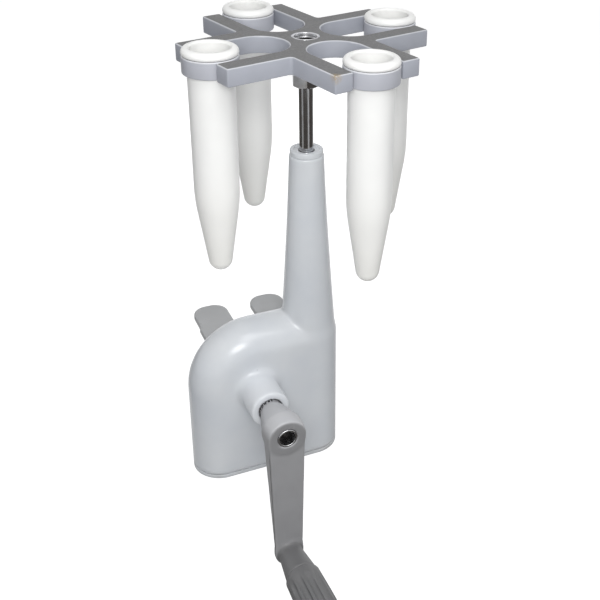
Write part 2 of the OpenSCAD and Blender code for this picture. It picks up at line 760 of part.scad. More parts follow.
// Buckets
module carrier_ring(i) {
    color(rotor_grey) at_arm(i) translate([bucket_reach, 0, 0]) difference() {
        union() {
            translate([0, 0, ring_bottom]) cylinder(r = rim_r, h = ring_h);
            translate([0, 0, rotor_mid]) rotate([90, 0, 0])
                cylinder(r = trunnion_r, h = 2 * trunnion_end, center = true);
        }
        translate([0, 0, ring_bottom - cut]) cylinder(r = bucket_r + seat_gap, h = ring_h + 2 * cut);
    }
}
// Rounded tip between a bucket's axis and the lower end of its cone
function tip(r, depth, bottom) =
    [for (k = [0:tip_steps]) let (a = 90 * k / tip_steps) [r * sin(a), bottom + depth * (1 - cos(a))]];
module bucket_outline() {
    rim_top = ring_top + rim_t;
    polygon(concat(
        tip(bucket_tip_r, bucket_tip_len, bucket_bottom),
        [[bucket_r, cone_top], [bucket_r, ring_top]],
        arc([rim_r - rim_foot_round, ring_top + rim_foot_round], rim_foot_round, -90, 0, rim_steps),
        arc([rim_r - rim_round, rim_top - rim_round], rim_round, 0, 90, rim_steps),
        [[bucket_bore_r + mouth_chamfer, rim_top], [bucket_bore_r, rim_top - mouth_chamfer],
         [bucket_bore_r, cone_top]],
        [for (p = [tip_steps:-1:0])
            tip(bore_tip_r, bore_tip_len, bucket_bottom + bucket_wall)[p]]));
}
module tube_bucket(i) {
    color(bucket_white) at_arm(i) translate([bucket_reach, 0, 0]) rotate_extrude() bucket_outline();
}

gear_housing();
base_plate();
base_screws();
neck_cap();
upper_bush();
foot_bearing();
thrust_ball();
crank_bush_front();
crank_bush_rear();
clamp_bracket();
bracket_screws();
crank_shaft();
worm_wheel();
wheel_pin();
crank_arm();
crank_sleeve();
crank_grub_screw();
handle_pin();
handle_grip();
spindle();
worm();
worm_pin();
rotor_nut();
rotor_cross();
rotor_bush();
rotor_screw();
carrier_ring(1);  // carrier_ring_1
carrier_ring(2);  // carrier_ring_2
carrier_ring(3);  // carrier_ring_3
carrier_ring(4);  // carrier_ring_4
tube_bucket(1);  // tube_bucket_1
tube_bucket(2);  // tube_bucket_2
tube_bucket(3);  // tube_bucket_3
tube_bucket(4);  // tube_bucket_4
clamp_pad();
clamp_screw();
clamp_bar();
clamp_bar_caps();
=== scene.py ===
# %% [markdown]
# # A hand-cranked centrifuge with four swing-out buckets
# The real object clamps to the edge of a table. Its crank turns a worm gear in the
# case, and the gear spins a cross of four hanging buckets nine times as fast. The
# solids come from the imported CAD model, and this lesson dresses them piece by piece.

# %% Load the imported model
import json
import math

import bmesh
import bpy
from mathutils import Matrix, Vector


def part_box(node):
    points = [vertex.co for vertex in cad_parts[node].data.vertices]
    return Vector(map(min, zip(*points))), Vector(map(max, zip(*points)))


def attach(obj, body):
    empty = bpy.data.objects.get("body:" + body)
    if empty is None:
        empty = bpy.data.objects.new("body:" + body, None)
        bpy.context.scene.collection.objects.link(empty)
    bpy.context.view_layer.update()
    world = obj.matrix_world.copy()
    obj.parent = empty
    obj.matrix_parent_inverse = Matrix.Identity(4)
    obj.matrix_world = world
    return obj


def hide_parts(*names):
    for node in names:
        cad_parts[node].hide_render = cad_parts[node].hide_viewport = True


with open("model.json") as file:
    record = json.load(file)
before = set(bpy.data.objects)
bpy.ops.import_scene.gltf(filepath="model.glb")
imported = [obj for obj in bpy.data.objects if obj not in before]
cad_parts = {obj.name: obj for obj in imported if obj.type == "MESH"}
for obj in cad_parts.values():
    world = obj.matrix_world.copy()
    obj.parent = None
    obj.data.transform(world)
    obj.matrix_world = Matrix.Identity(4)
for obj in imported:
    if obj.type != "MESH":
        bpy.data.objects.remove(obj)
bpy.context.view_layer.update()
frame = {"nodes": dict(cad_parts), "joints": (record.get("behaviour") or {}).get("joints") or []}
nodes = frame["nodes"]

# %% [markdown]
# ## Where things are
# Blender works in metres, but a maker thinks of such an object in millimetres. Each
# piece is built in millimetres on a bench of its own, and a matrix carries it to its
# place. The places come from the joints, so a piece turns about its real axis.

# %% Benches of the moving parts
MM = 0.001
joints = {joint["name"]: joint for joint in frame["joints"]}


def joint_place(name):
    return Vector(joints[name]["pos_m"]) / MM


def span(node, axis):
    """The lowest and highest place of a CAD node along one axis, in millimetres."""
    return [getattr(place, axis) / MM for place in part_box(node)]


spindle_x, spindle_y, _ = joint_place("rotor_spin")
crank_x, _, crank_z = joint_place("crank_turn")
handle_z = joint_place("grip_spin").z
clamp_y = joint_place("clamp_turn").y
base_z = span("base_plate", "z")[0]
rotor_low, rotor_high = span("rotor_cross", "z")
front = Matrix.Rotation(math.radians(90), 4, "X")
at_spindle = Matrix.Translation((spindle_x, spindle_y, 0))
at_crank = Matrix.Translation((crank_x, spindle_y, crank_z)) @ front
at_handle = Matrix.Translation((crank_x, spindle_y, handle_z)) @ front
at_clamp = Matrix.Translation((0, clamp_y, 0))
to_bucket = joint_place("bucket_swing_1") - joint_place("rotor_spin")
bucket_reach = to_bucket.length
arm_turn = math.atan2(to_bucket.y, to_bucket.x)
at_arm = [at_spindle @ Matrix.Rotation(arm_turn + math.radians(90 * k), 4, "Z") for k in range(4)]
print("spindle at", round(spindle_x, 2), round(spindle_y, 2))
print("crank axis at", round(crank_x, 2), round(crank_z, 2))

# %% [markdown]
# ## Sums as wires
# A node tree does sums with Math nodes, one node for each sign, and such a tree is
# slow to wire by hand. A Wire holds one output socket and overloads the signs, so a
# plain expression lays the Math nodes by itself. The same class serves shaders and
# Geometry Nodes.

# %% Wire
class Wire:
    """One output of a node, which takes part in plain sums."""

    def __init__(self, wiring, socket):
        self.wiring = wiring
        self.socket = socket

    def math(self, operation, *terms):
        return self.wiring.node("ShaderNodeMath", {"operation": operation}, dict(enumerate(terms)))

    def __add__(self, other):
        return self.math("ADD", self, other)

    def __sub__(self, other):
        return self.math("SUBTRACT", self, other)

    def __rsub__(self, other):
        return self.math("SUBTRACT", other, self)

    def __mul__(self, other):
        return self.math("MULTIPLY", self, other)

    def __truediv__(self, other):
        return self.math("DIVIDE", self, other)

    def __rtruediv__(self, other):
        return self.math("DIVIDE", other, self)

    def __pow__(self, other):
        return self.math("POWER", self, other)

    def __neg__(self):
        return self.math("MULTIPLY", self, -1.0)

    def __abs__(self):
        return self.math("ABSOLUTE", self)

    def __lt__(self, other):
        return self.math("LESS_THAN", self, other)

    def __gt__(self, other):
        return self.math("GREATER_THAN", self, other)

    def at_least(self, other):
        return self.math("MAXIMUM", self, other)

    def at_most(self, other):
        return self.math("MINIMUM", self, other)

    def root(self):
        return self.math("SQRT", self)

    def ramp(self, start, end):
        """Goes from 0 to 1 while this value goes from start to end."""
        return ((self - start) / (end - start)).at_least(0.0).at_most(1.0)

    __radd__ = __add__
    __rmul__ = __mul__


print("wires take part in sums")

# %% Wiring
class Wiring:
    """A node tree under construction."""

    def __init__(self, tree):
        self.tree = tree

    def node(self, kind, settings=None, sockets=None, out=0):
        """Adds one node: its settings first, then the values or links of its sockets."""
        made = self.tree.nodes.new(kind)
        for name, value in (settings or {}).items():
            setattr(made, name, value)
        for name, value in (sockets or {}).items():
            if isinstance(value, Wire):
                self.tree.links.new(value.socket, made.inputs[name])
            else:
                made.inputs[name].default_value = value
        return Wire(self, made.outputs[out]) if made.outputs else made

    def split(self, vector):
        made = self.node("ShaderNodeSeparateXYZ", None, {0: vector}).socket.node
        return [Wire(self, socket) for socket in made.outputs]

    def tint(self, first, second, amount):
        """A colour between two colours."""
        sockets = {0: amount, 6: first, 7: second}
        return self.node("ShaderNodeMix", {"data_type": "RGBA"}, sockets, 2)

    def grain(self, where, size_mm, detail=2.0):
        """Soft noise from about 0 to 1 whose spots are size_mm across."""
        sockets = {"Vector": where, "Scale": 1 / (size_mm * MM), "Detail": detail}
        return self.node("ShaderNodeTexNoise", None, sockets)


def distance(a, b):
    return (a * a + b * b).root()


print("trees can be wired")

# %% [markdown]
# ## Finishes
# Every surface gets a procedural finish that reads Object coordinates in metres, so
# its grain has a real size. A colour is written as it looks on the screen, from 0 to
# 255, and turned into the linear light that Blender mixes.

# %% A finish from a rule
def shade(red, green, blue):
    def linear(value):
        value /= 255
        return value / 12.92 if value <= 0.04045 else ((value + 0.055) / 1.055) ** 2.4
    return (linear(red), linear(green), linear(blue), 1.0)


def bare_tree(owner):
    """The emptied node tree of a material or a world."""
    owner.use_nodes = True
    owner.node_tree.nodes.clear()
    return Wiring(owner.node_tree)


def finish(name, rule, **constants):
    """A material whose rule gives what changes over the surface."""
    material = bpy.data.materials.new(name)
    wiring = bare_tree(material)
    where = wiring.node("ShaderNodeTexCoord", None, None, "Object")
    sockets = {**constants, **rule(wiring, where)}
    shader = wiring.node("ShaderNodeBsdfPrincipled", None, sockets)
    wiring.node("ShaderNodeOutputMaterial", None, {"Surface": shader})
    return material


def bumps(wiring, height, depth_mm, strength):
    return wiring.node("ShaderNodeBump", None, {
        "Strength": strength, "Distance": depth_mm * MM, "Height": height})


print("finishes are ready")

# %% [markdown]
# ## Enamel of the gear case
# The case is a casting under thick pale grey enamel. Enamel has a slight orange peel,
# a few dark specks where dirt sank in, and a line of grime along its foot. The boss
# for the crank is painted a little paler as a painted highlight. Noise gives the peel,
# and Voronoi cells give the specks, few of which are kept.

# %% Case enamel
boss_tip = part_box("gear_housing")[0].y
boss_highlight_radii, boss_highlight_depths = (0.0105, 0.0135), (0.014, 0.019)
grime_low, grime_high = (base_z + 2.0) * MM, (base_z + 5.0) * MM


def enamel_rule(wiring, where):
    x, y, z = wiring.split(where)
    cloud = wiring.grain(where, 22, 3.0)
    peel = wiring.grain(where, 1.6)
    cells = {"Vector": where, "Scale": 1 / (9 * MM)}
    spot = wiring.node("ShaderNodeTexVoronoi", None, cells, "Distance")
    kind = wiring.split(wiring.node("ShaderNodeTexVoronoi", None, cells, "Color"))[0]
    speck = (1 - spot.ramp(0.012, 0.035)) * (kind > 0.62)
    grime = (1 - z.ramp(grime_low, grime_high)) * cloud.ramp(0.35, 0.75)
    colour = wiring.tint(shade(208, 212, 217), shade(216, 219, 222), cloud.ramp(0.3, 0.7))
    # Painted highlight: the boss for the crank is painted paler.
    boss = 1 - distance(x - crank_x * MM, z - crank_z * MM).ramp(*boss_highlight_radii)
    boss = boss * (1 - (y - boss_tip).ramp(*boss_highlight_depths))
    colour = wiring.tint(colour, shade(230, 233, 237), boss * 0.6)
    colour = wiring.tint(colour, shade(150, 147, 140), grime * 0.5)
    colour = wiring.tint(colour, shade(96, 92, 86), speck * 0.7)
    return {"Base Color": colour, "Roughness": 0.2 + cloud * 0.1 + grime * 0.2,
            "Normal": bumps(wiring, peel, 0.05, 0.12)}


case_enamel = finish("case_enamel", enamel_rule)
print("made", case_enamel.name)

# %% [markdown]
# ## Moulded plastics
# The rotor, the crank and the grip are grey mouldings. The rotor's upper face is
# duller than its sides, as it was faced after moulding, and it is painted darker as
# painted shade, mottled by a fine grain of dust. The finish tells the upper face by its
# normal in object space, and the bevels below it are painted lighter as a painted
# highlight. The crank has a dark line painted on its flanks near the front edge as
# painted shade, the upper side of its hub is painted paler as a painted highlight,
# and its handle end is darker.

# %% Rotor and ring plastics
def moulded(wiring, where, colour, fine):
    """The pores, scuffs and clouds that all the mouldings share."""
    cloud = wiring.grain(where, 14, 3.0)
    pores = wiring.grain(where, fine)
    scuff = wiring.grain(wiring.node("ShaderNodeMapping", None, {
        "Vector": where, "Scale": (1.0, 1.0, 0.12)}), 2.5, 4.0).ramp(0.62, 0.78)
    colour = wiring.tint(colour, shade(214, 214, 214), scuff * 0.08)
    colour = wiring.tint(colour, shade(60, 58, 55), (1 - cloud.ramp(0.2, 0.6)) * 0.10)
    return {"Base Color": colour, "Roughness": 0.38 + cloud * 0.16 + scuff * 0.1,
            "Normal": bumps(wiring, pores, 0.03, 0.25)}


def facing(wiring):
    """How far a face looks along X, Y and Z, from -1 to 1."""
    return wiring.split(wiring.node("ShaderNodeTexCoord", None, None, "Normal"))


arm_half_width, arm_reach = 23.0, 55.2


def rotor_rule(wiring, where):
    up = facing(wiring)[2]
    shaded_top = up.ramp(0.9, 0.99)
    edge = up.ramp(0.15, 0.5) * (1 - shaded_top)
    dust_and_sheen = wiring.grain(where, 0.7, 3.0)
    # Painted shade: face is the darker colour painted on the upper face, mottled by dust.
    face = wiring.tint(shade(101, 101, 102), shade(121, 121, 121), dust_and_sheen.ramp(0.3, 0.7))
    # Painted highlight: the bevels (edge) are painted lighter than the sides.
    colour = wiring.tint(shade(168, 171, 180), shade(204, 206, 211), edge)
    colour = wiring.tint(colour, face, shaded_top)
    x, y, z = wiring.split(where)
    stain_x, stain_y, stain_z = at_arm[3] @ Vector((arm_reach, -arm_half_width, rotor_high))
    away = distance(distance(x - stain_x * MM, y - stain_y * MM), z - stain_z * MM)
    stain = (1 - away.ramp(0.0008, 0.0045)) * dust_and_sheen.ramp(0.35, 0.6)
    colour = wiring.tint(colour, shade(166, 140, 88), stain * 0.8)
    made = moulded(wiring, where, colour, 0.5)
    made["Roughness"] = made["Roughness"] + shaded_top * 0.15 - edge * 0.12
    return made


def ring_rule(wiring, where):
    up = facing(wiring)[2]
    # Painted highlight: the bevels (edge) are painted lighter.
    edge = up.ramp(0.15, 0.5) * (1 - up.ramp(0.9, 0.99))
    colour = wiring.tint(shade(182, 184, 192), shade(216, 217, 221), edge)
    # Painted shade: the flat top, under the bucket's lip, is painted darker.
    colour = wiring.tint(colour, shade(128, 128, 128), up.ramp(0.95, 0.99))
    return moulded(wiring, where, colour, 0.5)


rotor_plastic = finish("rotor_plastic", rotor_rule)
ring_plastic = finish("ring_plastic", ring_rule)
print("made", rotor_plastic.name, "and", ring_plastic.name)

# %% Crank and grip plastics
handle_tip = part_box("crank_arm")[0].y
# Where a dark line of painted shade runs along the flanks, behind the front edge.
shaded_edge_at = handle_tip + 0.0196


def crank_finish_rule(wiring, where):
    x, y, z = wiring.split(where)
    sideways, _, up = facing(wiring)
    hub = 1 - distance(x - crank_x * MM, z - crank_z * MM).ramp(0.010, 0.016)
    # Painted highlight: the upper side of the hub is painted paler.
    dust_and_sheen = up.ramp(0.1, 0.6) * hub
    colour = wiring.tint(shade(157, 157, 159), shade(202, 203, 206), dust_and_sheen * 0.75)
    # The handle end is painted darker.
    darker_handle_end = 1 - (y - handle_tip).ramp(0.0170, 0.0181)
    colour = wiring.tint(colour, shade(110, 110, 111), darker_handle_end)
    # Painted shade: a dark line on the flanks near the front edge.
    shaded_edge_line = 1 - abs(y - shaded_edge_at).ramp(0.0003, 0.0006)
    shaded_edge_line = shaded_edge_line * abs(sideways).ramp(0.5, 0.8) * (1 - hub)
    colour = wiring.tint(colour, shade(48, 48, 49), shaded_edge_line)
    return moulded(wiring, where, colour, 0.6)


def grip_finish_rule(wiring, where):
    return moulded(wiring, where, shade(111, 111, 112), 0.6)


crank_plastic = finish("crank_plastic", crank_finish_rule)
grip_plastic = finish("grip_plastic", grip_finish_rule)
print("made", crank_plastic.name, "and", grip_plastic.name)

# %% [markdown]
# ## White buckets
# The buckets are white mouldings with a waxy gloss. They are nearly featureless, so
# the finish adds only a faint cloudiness, a slight yellowing towards the tip and very
# fine scratches from test tubes and the bench.

# %% Bucket plastic
yellow_from, yellow_to = 0.070, 0.125


def bucket_rule(wiring, where):
    cloud = wiring.grain(where, 18, 2.0)
    fine = wiring.grain(where, 0.8)
    low = 1 - wiring.split(where)[2].ramp(yellow_from, yellow_to)
    colour = wiring.tint(shade(250, 250, 248), shade(246, 246, 244), cloud.ramp(0.3, 0.7))
    colour = wiring.tint(colour, shade(246, 244, 236), low * 0.4)
    return {"Base Color": colour, "Roughness": 0.3 + cloud * 0.12,
            "Normal": bumps(wiring, fine, 0.02, 0.1)}


bucket_plastic = finish("bucket_plastic", bucket_rule)
print("made", bucket_plastic.name)

# %% [markdown]
# ## Metals
# Turned metal carries fine rings from the lathe, which stretch its highlights. One
# rule serves all the metals: a base colour, a darker stain where oil has dried, and
# noise that is squeezed along one axis for the tool marks.

# %% Chrome, steel, bronze and brass
def metal(name, bright, stain, roughness, squeeze, painted_shade=None):
    def rule(wiring, where):
        stretched = wiring.node("ShaderNodeMapping", None, {"Vector": where, "Scale": squeeze})
        marks = wiring.grain(stretched, 0.6, 2.0)
        cloud = wiring.grain(where, 7, 3.0)
        colour = wiring.tint(bright, stain, cloud.ramp(0.45, 0.8) * 0.6)
        # An optional rule paints shade into the colour, as painted shade.
        if painted_shade:
            colour = wiring.tint(colour, shade(34, 32, 30), painted_shade(wiring, where))
        return {"Base Color": colour, "Roughness": roughness + cloud * 0.12,
                "Normal": bumps(wiring, marks, 0.01, 0.12)}
    return finish(name, rule, Metallic=1.0)


upright, lying = (0.15, 0.15, 1.0), (0.15, 1.0, 0.15)
steel_bright, steel_stain = shade(204, 205, 208), shade(150, 146, 140)
chrome = metal("spindle_chrome", shade(196, 197, 200), shade(150, 140, 128), 0.04, upright)
steel = metal("turned_steel", steel_bright, steel_stain, 0.22, upright)
crank_steel = metal("crank_steel", steel_bright, steel_stain, 0.2, lying)
dark_steel = metal("oiled_steel", shade(46, 45, 44), shade(22, 20, 18), 0.45, lying)
bronze = metal("bearing_bronze", shade(190, 146, 92), shade(112, 84, 52), 0.3, upright)
brass = metal("gear_brass", shade(214, 182, 104), shade(140, 112, 60), 0.28, lying)
print("made six metals")

# %% [markdown]
# ## Clamp paint
# The clamp is a rougher casting than the case, under a thin coat of grey paint that is
# rubbed darker in spots. It is the enamel's way again, with a finer and deeper peel,
# and noise that is cut off high leaves only a few rubbed spots.

# %% Clamp paint
def bracket_finish_rule(wiring, where):
    cloud = wiring.grain(where, 16, 3.0)
    peel = wiring.grain(where, 1.2)
    rub = wiring.grain(where, 4, 5.0).ramp(0.66, 0.72)
    colour = wiring.tint(shade(174, 175, 176), shade(186, 187, 188), cloud.ramp(0.3, 0.7))
    colour = wiring.tint(colour, shade(130, 130, 130), rub * 0.35)
    return {"Base Color": colour, "Roughness": 0.36 + cloud * 0.15,
            "Normal": bumps(wiring, peel, 0.06, 0.15)}


bracket_paint = finish("bracket_paint", bracket_finish_rule)
print("made", bracket_paint.name)

# %% [markdown]
# ## From outline to mesh
# Turned pieces start as a closed outline of radius and height. A real edge is never
# knife sharp, so every corner of the outline carries its own rounding, and soften
# swaps the corner for a short arc. The lathe then carries the outline round an axis.
# Each piece is at last scaled to metres and put into the scene, on the body that it
# rides on; the CAD nodes that it stands for are hidden, and it gets its paint.

# %% Outlines and the lathe
nearly_straight = 1.56


def soften(corners, steps=5):
    """Rounds a closed outline whose corners are (x, y, radius)."""
    path = []
    for k, (x, y, radius) in enumerate(corners):
        here = Vector((x, y))
        back = Vector(corners[k - 1][:2]) - here
        on = Vector(corners[(k + 1) % len(corners)][:2]) - here
        half = back.angle(on) / 2
        if radius == 0 or half > nearly_straight:
            path.append(here)
            continue
        reach = min(radius / math.tan(half), back.length * 0.49, on.length * 0.49)
        radius = reach * math.tan(half)
        back.normalize()
        on.normalize()
        centre = here + (back + on).normalized() * (radius / math.sin(half))
        start = here + back * reach - centre
        end = here + on * reach - centre
        sweep = math.atan2(start.x * end.y - start.y * end.x, start.dot(end))
        for step in range(steps + 1):
            path.append(centre + Matrix.Rotation(sweep * step / steps, 2) @ start)
    return [(p.x, p.y) for p in path]


def lathe(outline, place, turns=72, into=None):
    """Turns a closed outline of (radius, height) about the bench's Z axis."""
    bm = into or bmesh.new()
    first = len(bm.faces)
    rings = []
    for radius, height in outline:
        count = 1 if radius < 1e-6 else turns
        angles = [2 * math.pi * k / turns for k in range(count)]
        ring = [(radius * math.cos(a), radius * math.sin(a), height) for a in angles]
        rings.append([bm.verts.new(place @ Vector(point)) for point in ring])
    for k, ring in enumerate(rings):
        other = rings[(k + 1) % len(rings)]
        for j in range(turns if len(ring) + len(other) > 2 else 0):
            corners = [ring[j % len(ring)], ring[(j + 1) % len(ring)],
                       other[(j + 1) % len(other)], other[j % len(other)]]
            bm.faces.new(list(dict.fromkeys(corners)))
    bm.faces.ensure_lookup_table()
    bmesh.ops.recalc_face_normals(bm, faces=bm.faces[first:])
    return bm


print("the lathe is ready")

# %% Pieces into the scene
def off_bench(bm, name):
    """Takes a mesh off the bench: from millimetres to metres."""
    mesh = bpy.data.meshes.new(name)
    bm.to_mesh(mesh)
    bm.free()
    mesh.transform(Matrix.Scale(MM, 4))
    return mesh


def in_scene(name, data):
    """Puts an object with that mesh, lamp or camera into the scene."""
    made = bpy.data.objects.new(name, data)
    bpy.context.scene.collection.objects.link(made)
    return made


def piece(name, shape, material, body, stands_for, crisp=38):
    """Makes a piece of the object from a bench mesh or from a finished mesh."""
    mesh = shape if isinstance(shape, bpy.types.Mesh) else off_bench(shape, name)
    mesh.name = name
    mesh.shade_smooth()
    mesh.set_sharp_from_angle(angle=math.radians(crisp))
    mesh.materials.clear()
    mesh.materials.append(material)
    made = in_scene(name, mesh)
    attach(made, body)
    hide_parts(*stands_for)
    print("piece", name, "with", len(mesh.polygons), "faces on", body)


print("pieces can be made")

# %% [markdown]
# ## Growing a shape in Geometry Nodes
# Some pieces follow a rule, so a tree of Geometry Nodes makes them: its inputs are the
# sizes, named as a maker would. The tree runs once on a holder object, and the result
# is taken off as a plain mesh, because the library keeps meshes and no modifiers.

# %% Run a tree once
def take_off(holder, modifier):
    """The plain mesh that a modifier makes. The holder is removed."""
    graph = bpy.context.evaluated_depsgraph_get()
    mesh = bpy.data.meshes.new_from_object(holder.evaluated_get(graph), depsgraph=graph)
    holder.modifiers.remove(modifier)
    bpy.data.objects.remove(holder)
    return mesh


def grow(name, rule, sizes, material, start=None):
    """Builds a tree from a rule, runs it once and gives its mesh."""
    tree = bpy.data.node_groups.new(name, "GeometryNodeTree")
    tree.interface.new_socket("Geometry", in_out="INPUT", socket_type="NodeSocketGeometry")
    for label, value in sizes.items():
        kind = "NodeSocketObject" if isinstance(value, bpy.types.Object) else "NodeSocketFloat"
        tree.interface.new_socket(label, in_out="INPUT", socket_type=kind)
    tree.interface.new_socket("Geometry", in_out="OUTPUT", socket_type="NodeSocketGeometry")
    wiring = Wiring(tree)
    entry = tree.nodes.new("NodeGroupInput")
    given = {socket.name: Wire(wiring, socket) for socket in entry.outputs if socket.name}
    shape = wiring.node("GeometryNodeRealizeInstances", None, {"Geometry": rule(wiring, given)})
    shape = wiring.node("GeometryNodeSetMaterial", None, {"Geometry": shape, "Material": material})
    wiring.node("NodeGroupOutput", None, {0: shape})
    holder = in_scene(name, start or bpy.data.meshes.new(name))
    modifier = holder.modifiers.new(name, "NODES")
    modifier.node_group = tree
    for item in tree.interface.items_tree:
        if item.in_out == "INPUT" and item.name in sizes:
            modifier[item.identifier] = sizes[item.name]
    mesh = take_off(holder, modifier)
    print("grown", name, "with", len(mesh.vertices), "points")
    return mesh


def bench(wiring, centre):
    """The three coordinates of a point, in millimetres from a centre."""
    x, y, z = wiring.split(wiring.node("GeometryNodeInputPosition"))
    return x / MM - centre[0], y / MM - centre[1], z / MM - centre[2]


print("trees can be grown")

# %% [markdown]
# ## Forms from distances
# A soft casting can be written as one number for each point in space: how far the point
# lies outside of the material, in millimetres, and less than 0 within. The larger of two
# such numbers cuts one form by another, and the smaller one joins them. Between the two,
# a blend makes the fillet that a pattern maker would rub in with wax. A volume is filled
# by that number, and its skin is meshed.

# %% Casting, fillets and corners
skin_density = 10.0


def cast(wiring, depth, low, high, voxel):
    """Meshes the skin where depth, the distance out of the material, is zero."""
    grid = {"Resolution " + axis: math.ceil((high[k] - low[k]) / voxel)
            for k, axis in enumerate("XYZ")}
    solid = wiring.node("GeometryNodeVolumeCube", None, {
        "Density": (skin_density - depth).at_least(0.0), "Background": 0.0,
        "Min": Vector(low) * MM, "Max": Vector(high) * MM, **grid})
    skin = wiring.node("GeometryNodeVolumeToMesh", None, {
        "Volume": solid, "Threshold": skin_density})
    even = wiring.node("GeometryNodeBlurAttribute", {"data_type": "FLOAT_VECTOR"}, {
        "Value": wiring.node("GeometryNodeInputPosition"), "Iterations": 2})
    return wiring.node("GeometryNodeSetPosition", None, {"Geometry": skin, "Position": even})


def melt(a, b, soft):
    """Joins two distances with a fillet of about that size."""
    near = (soft - abs(a - b)).at_least(0.0) / soft
    return a.at_most(b) - near * near * soft * 0.25


def corner(a, b, radius):
    """The distance out of a rounded corner between two faces."""
    a, b = a + radius, b + radius
    return a.at_least(b).at_most(0.0) + distance(a.at_least(0.0), b.at_least(0.0)) - radius


def slab(value, low, high):
    """The distance out of a layer between two levels."""
    return abs(value - (low + high) * 0.5) - (high - low) * 0.5


print("forms can be cast")

# %% [markdown]
# ## Gear case
# The case is one casting: a narrow box with round edges and one large curve at its
# top left, a tall neck that grows out of it, and a boss for the crank. Such a soft
# casting could be sculpted from a subdivision cage, but the fillets between its forms
# follow a rule, so it is grown from distances.

# %% Sizes of the gear case
def in_front(node):
    """How far in front of the spindle a CAD node starts and ends."""
    low, high = span(node, "y")
    return spindle_y - high, spindle_y - low


neck_top = span("gear_housing", "z")[1] - base_z
boss_end = in_front("gear_housing")[1]
neck_root, neck_bow, neck_fillet = 68.0, 1.25, 1.5
boss_edge, boss_fillet = 0.8, 5.0
hollow_root, hollow_end, hollow_top = 11.8, 5.1, 153.0
cover_thick = 2.0
cover_screw_mid, cover_screw_x, cover_screw_y = -37.0, 17.0, 10.0
plate_screw_x, plate_screw_mid, plate_screw_z = 16.0, -40.5, 10.0
post_radius, post_top, lug_radius, lug_front = 3.5, 15.0, 4.5, 7.5
rear_boss_radius, rear_boss_front = 8.5, 6.5
bush_seat, bush_seat_low, spindle_hole, spindle_hole_low = 5.6, 156.0, 4.1, 150.0
crank_seat, crank_seat_end, mouth_radius, mouth_depth = 5.6, 13.0, 6.3, 5.0
case_sizes = {"Edge radius": 15.0, "Left end": 66.0, "Top": 86.0, "Curve radius": 35.0,
              "Neck top radius": 8.7, "Neck root radius": 14.8, "Boss radius": 10.0, "Wall": 2.5}
print("neck up to", round(neck_top, 2), "and boss out to", round(boss_end, 2))

# %% Grow the gear case
def case_rule(wiring, given):
    x, y, z = bench(wiring, (spindle_x, spindle_y, base_z))
    round_edge, left, top = given["Edge radius"], given["Left end"], given["Top"]
    middle = -0.5 * (left - round_edge)
    side = abs(x - middle) + middle
    curve = (given["Curve radius"] - round_edge) * (x < middle)
    core = corner(side, z - (top - round_edge), curve)
    box = distance(core.at_least(0.0), y) - round_edge
    plan = distance(side.at_least(0.0), y) - round_edge
    out = distance(x, y)
    up = z.ramp(neck_root, neck_top)
    slim, stout = given["Neck top radius"], given["Neck root radius"]
    neck = (out - (slim + (stout - slim) * (1.0 - up) ** neck_bow)).at_least(z - neck_top)
    off = distance(x + (spindle_x - crank_x), z - (crank_z - base_z))
    boss = corner(off - given["Boss radius"], -boss_end - y, boss_edge)
    skin = melt(melt(box, neck, neck_fillet).at_least(plan), boss, boss_fillet)
    cone = out - (hollow_root - (hollow_root - hollow_end) * z.ramp(neck_root, hollow_top))
    cone = cone.at_least(z - hollow_top).at_least(neck_root - z)
    hollow = (box + given["Wall"]).at_most(cone)
    post = distance(abs(x - cover_screw_mid) - cover_screw_x, abs(y) - cover_screw_y) - post_radius
    lug_z = abs(z - (plate_screw_mid - base_z)) - plate_screw_z
    lug = distance(abs(x + spindle_x) - plate_screw_x, lug_z) - lug_radius
    for solid in (post.at_least(z - post_top), lug.at_least(lug_front - y),
                  (off - rear_boss_radius).at_least(rear_boss_front - y)):
        hollow = hollow.at_least(-solid)
    for cut in (hollow, z - cover_thick,
                (out - bush_seat).at_least(bush_seat_low - z),
                (out - spindle_hole).at_least(spindle_hole_low - z),
                (off - crank_seat).at_least(y - crank_seat_end),
                (off - mouth_radius).at_least(y + boss_end - mouth_depth)):
        skin = skin.at_least(-cut)
    low = (spindle_x - 68, spindle_y - 38, base_z)
    high = (spindle_x + 18, spindle_y + 18, base_z + 177)
    return cast(wiring, skin, low, high, 0.8)


piece("gear_case", grow("gear_case_tree", case_rule, case_sizes, case_enamel),
      case_enamel, "housing", ["gear_housing"], 60)

# %% [markdown]
# ## Base plate, cap and spindle
# A flat plate closes the case from below, and its edge shows as a seam. It is cut
# from an outline, so a flat filled curve with a bevel gives it a thickness and a
# rounded edge in one go. The cap ring and the spindle are turned on the lathe. The nut
# under the rotor is a lathe's work too, if the radius follows a hexagon on the way round.

# %% Plates from outlines
def plate(outlines, thickness, edge, place):
    """A flat plate with rounded edges, on the bench's XY plane from height 0 upwards."""
    curve = bpy.data.curves.new("outline", "CURVE")
    curve.dimensions = "2D"
    curve.fill_mode = "BOTH"
    curve.extrude = thickness / 2 - edge
    curve.bevel_depth = edge
    curve.bevel_resolution = 2
    curve.offset = -edge
    for outline in outlines:
        spline = curve.splines.new("POLY")
        spline.points.add(len(outline) - 1)
        for point, (x, y) in zip(spline.points, outline):
            point.co = (x, y, 0, 1)
        spline.use_cyclic_u = True
    holder = bpy.data.objects.new("outline", curve)
    flat = bpy.data.meshes.new_from_object(holder)
    bpy.data.objects.remove(holder)
    bm = bmesh.new()
    bm.from_mesh(flat)
    bpy.data.meshes.remove(flat)
    bmesh.ops.remove_doubles(bm, verts=bm.verts, dist=0.002)
    bmesh.ops.recalc_face_normals(bm, faces=bm.faces)
    lifted = place @ Matrix.Translation((0, 0, thickness / 2))
    bmesh.ops.transform(bm, matrix=lifted, verts=bm.verts)
    return bm


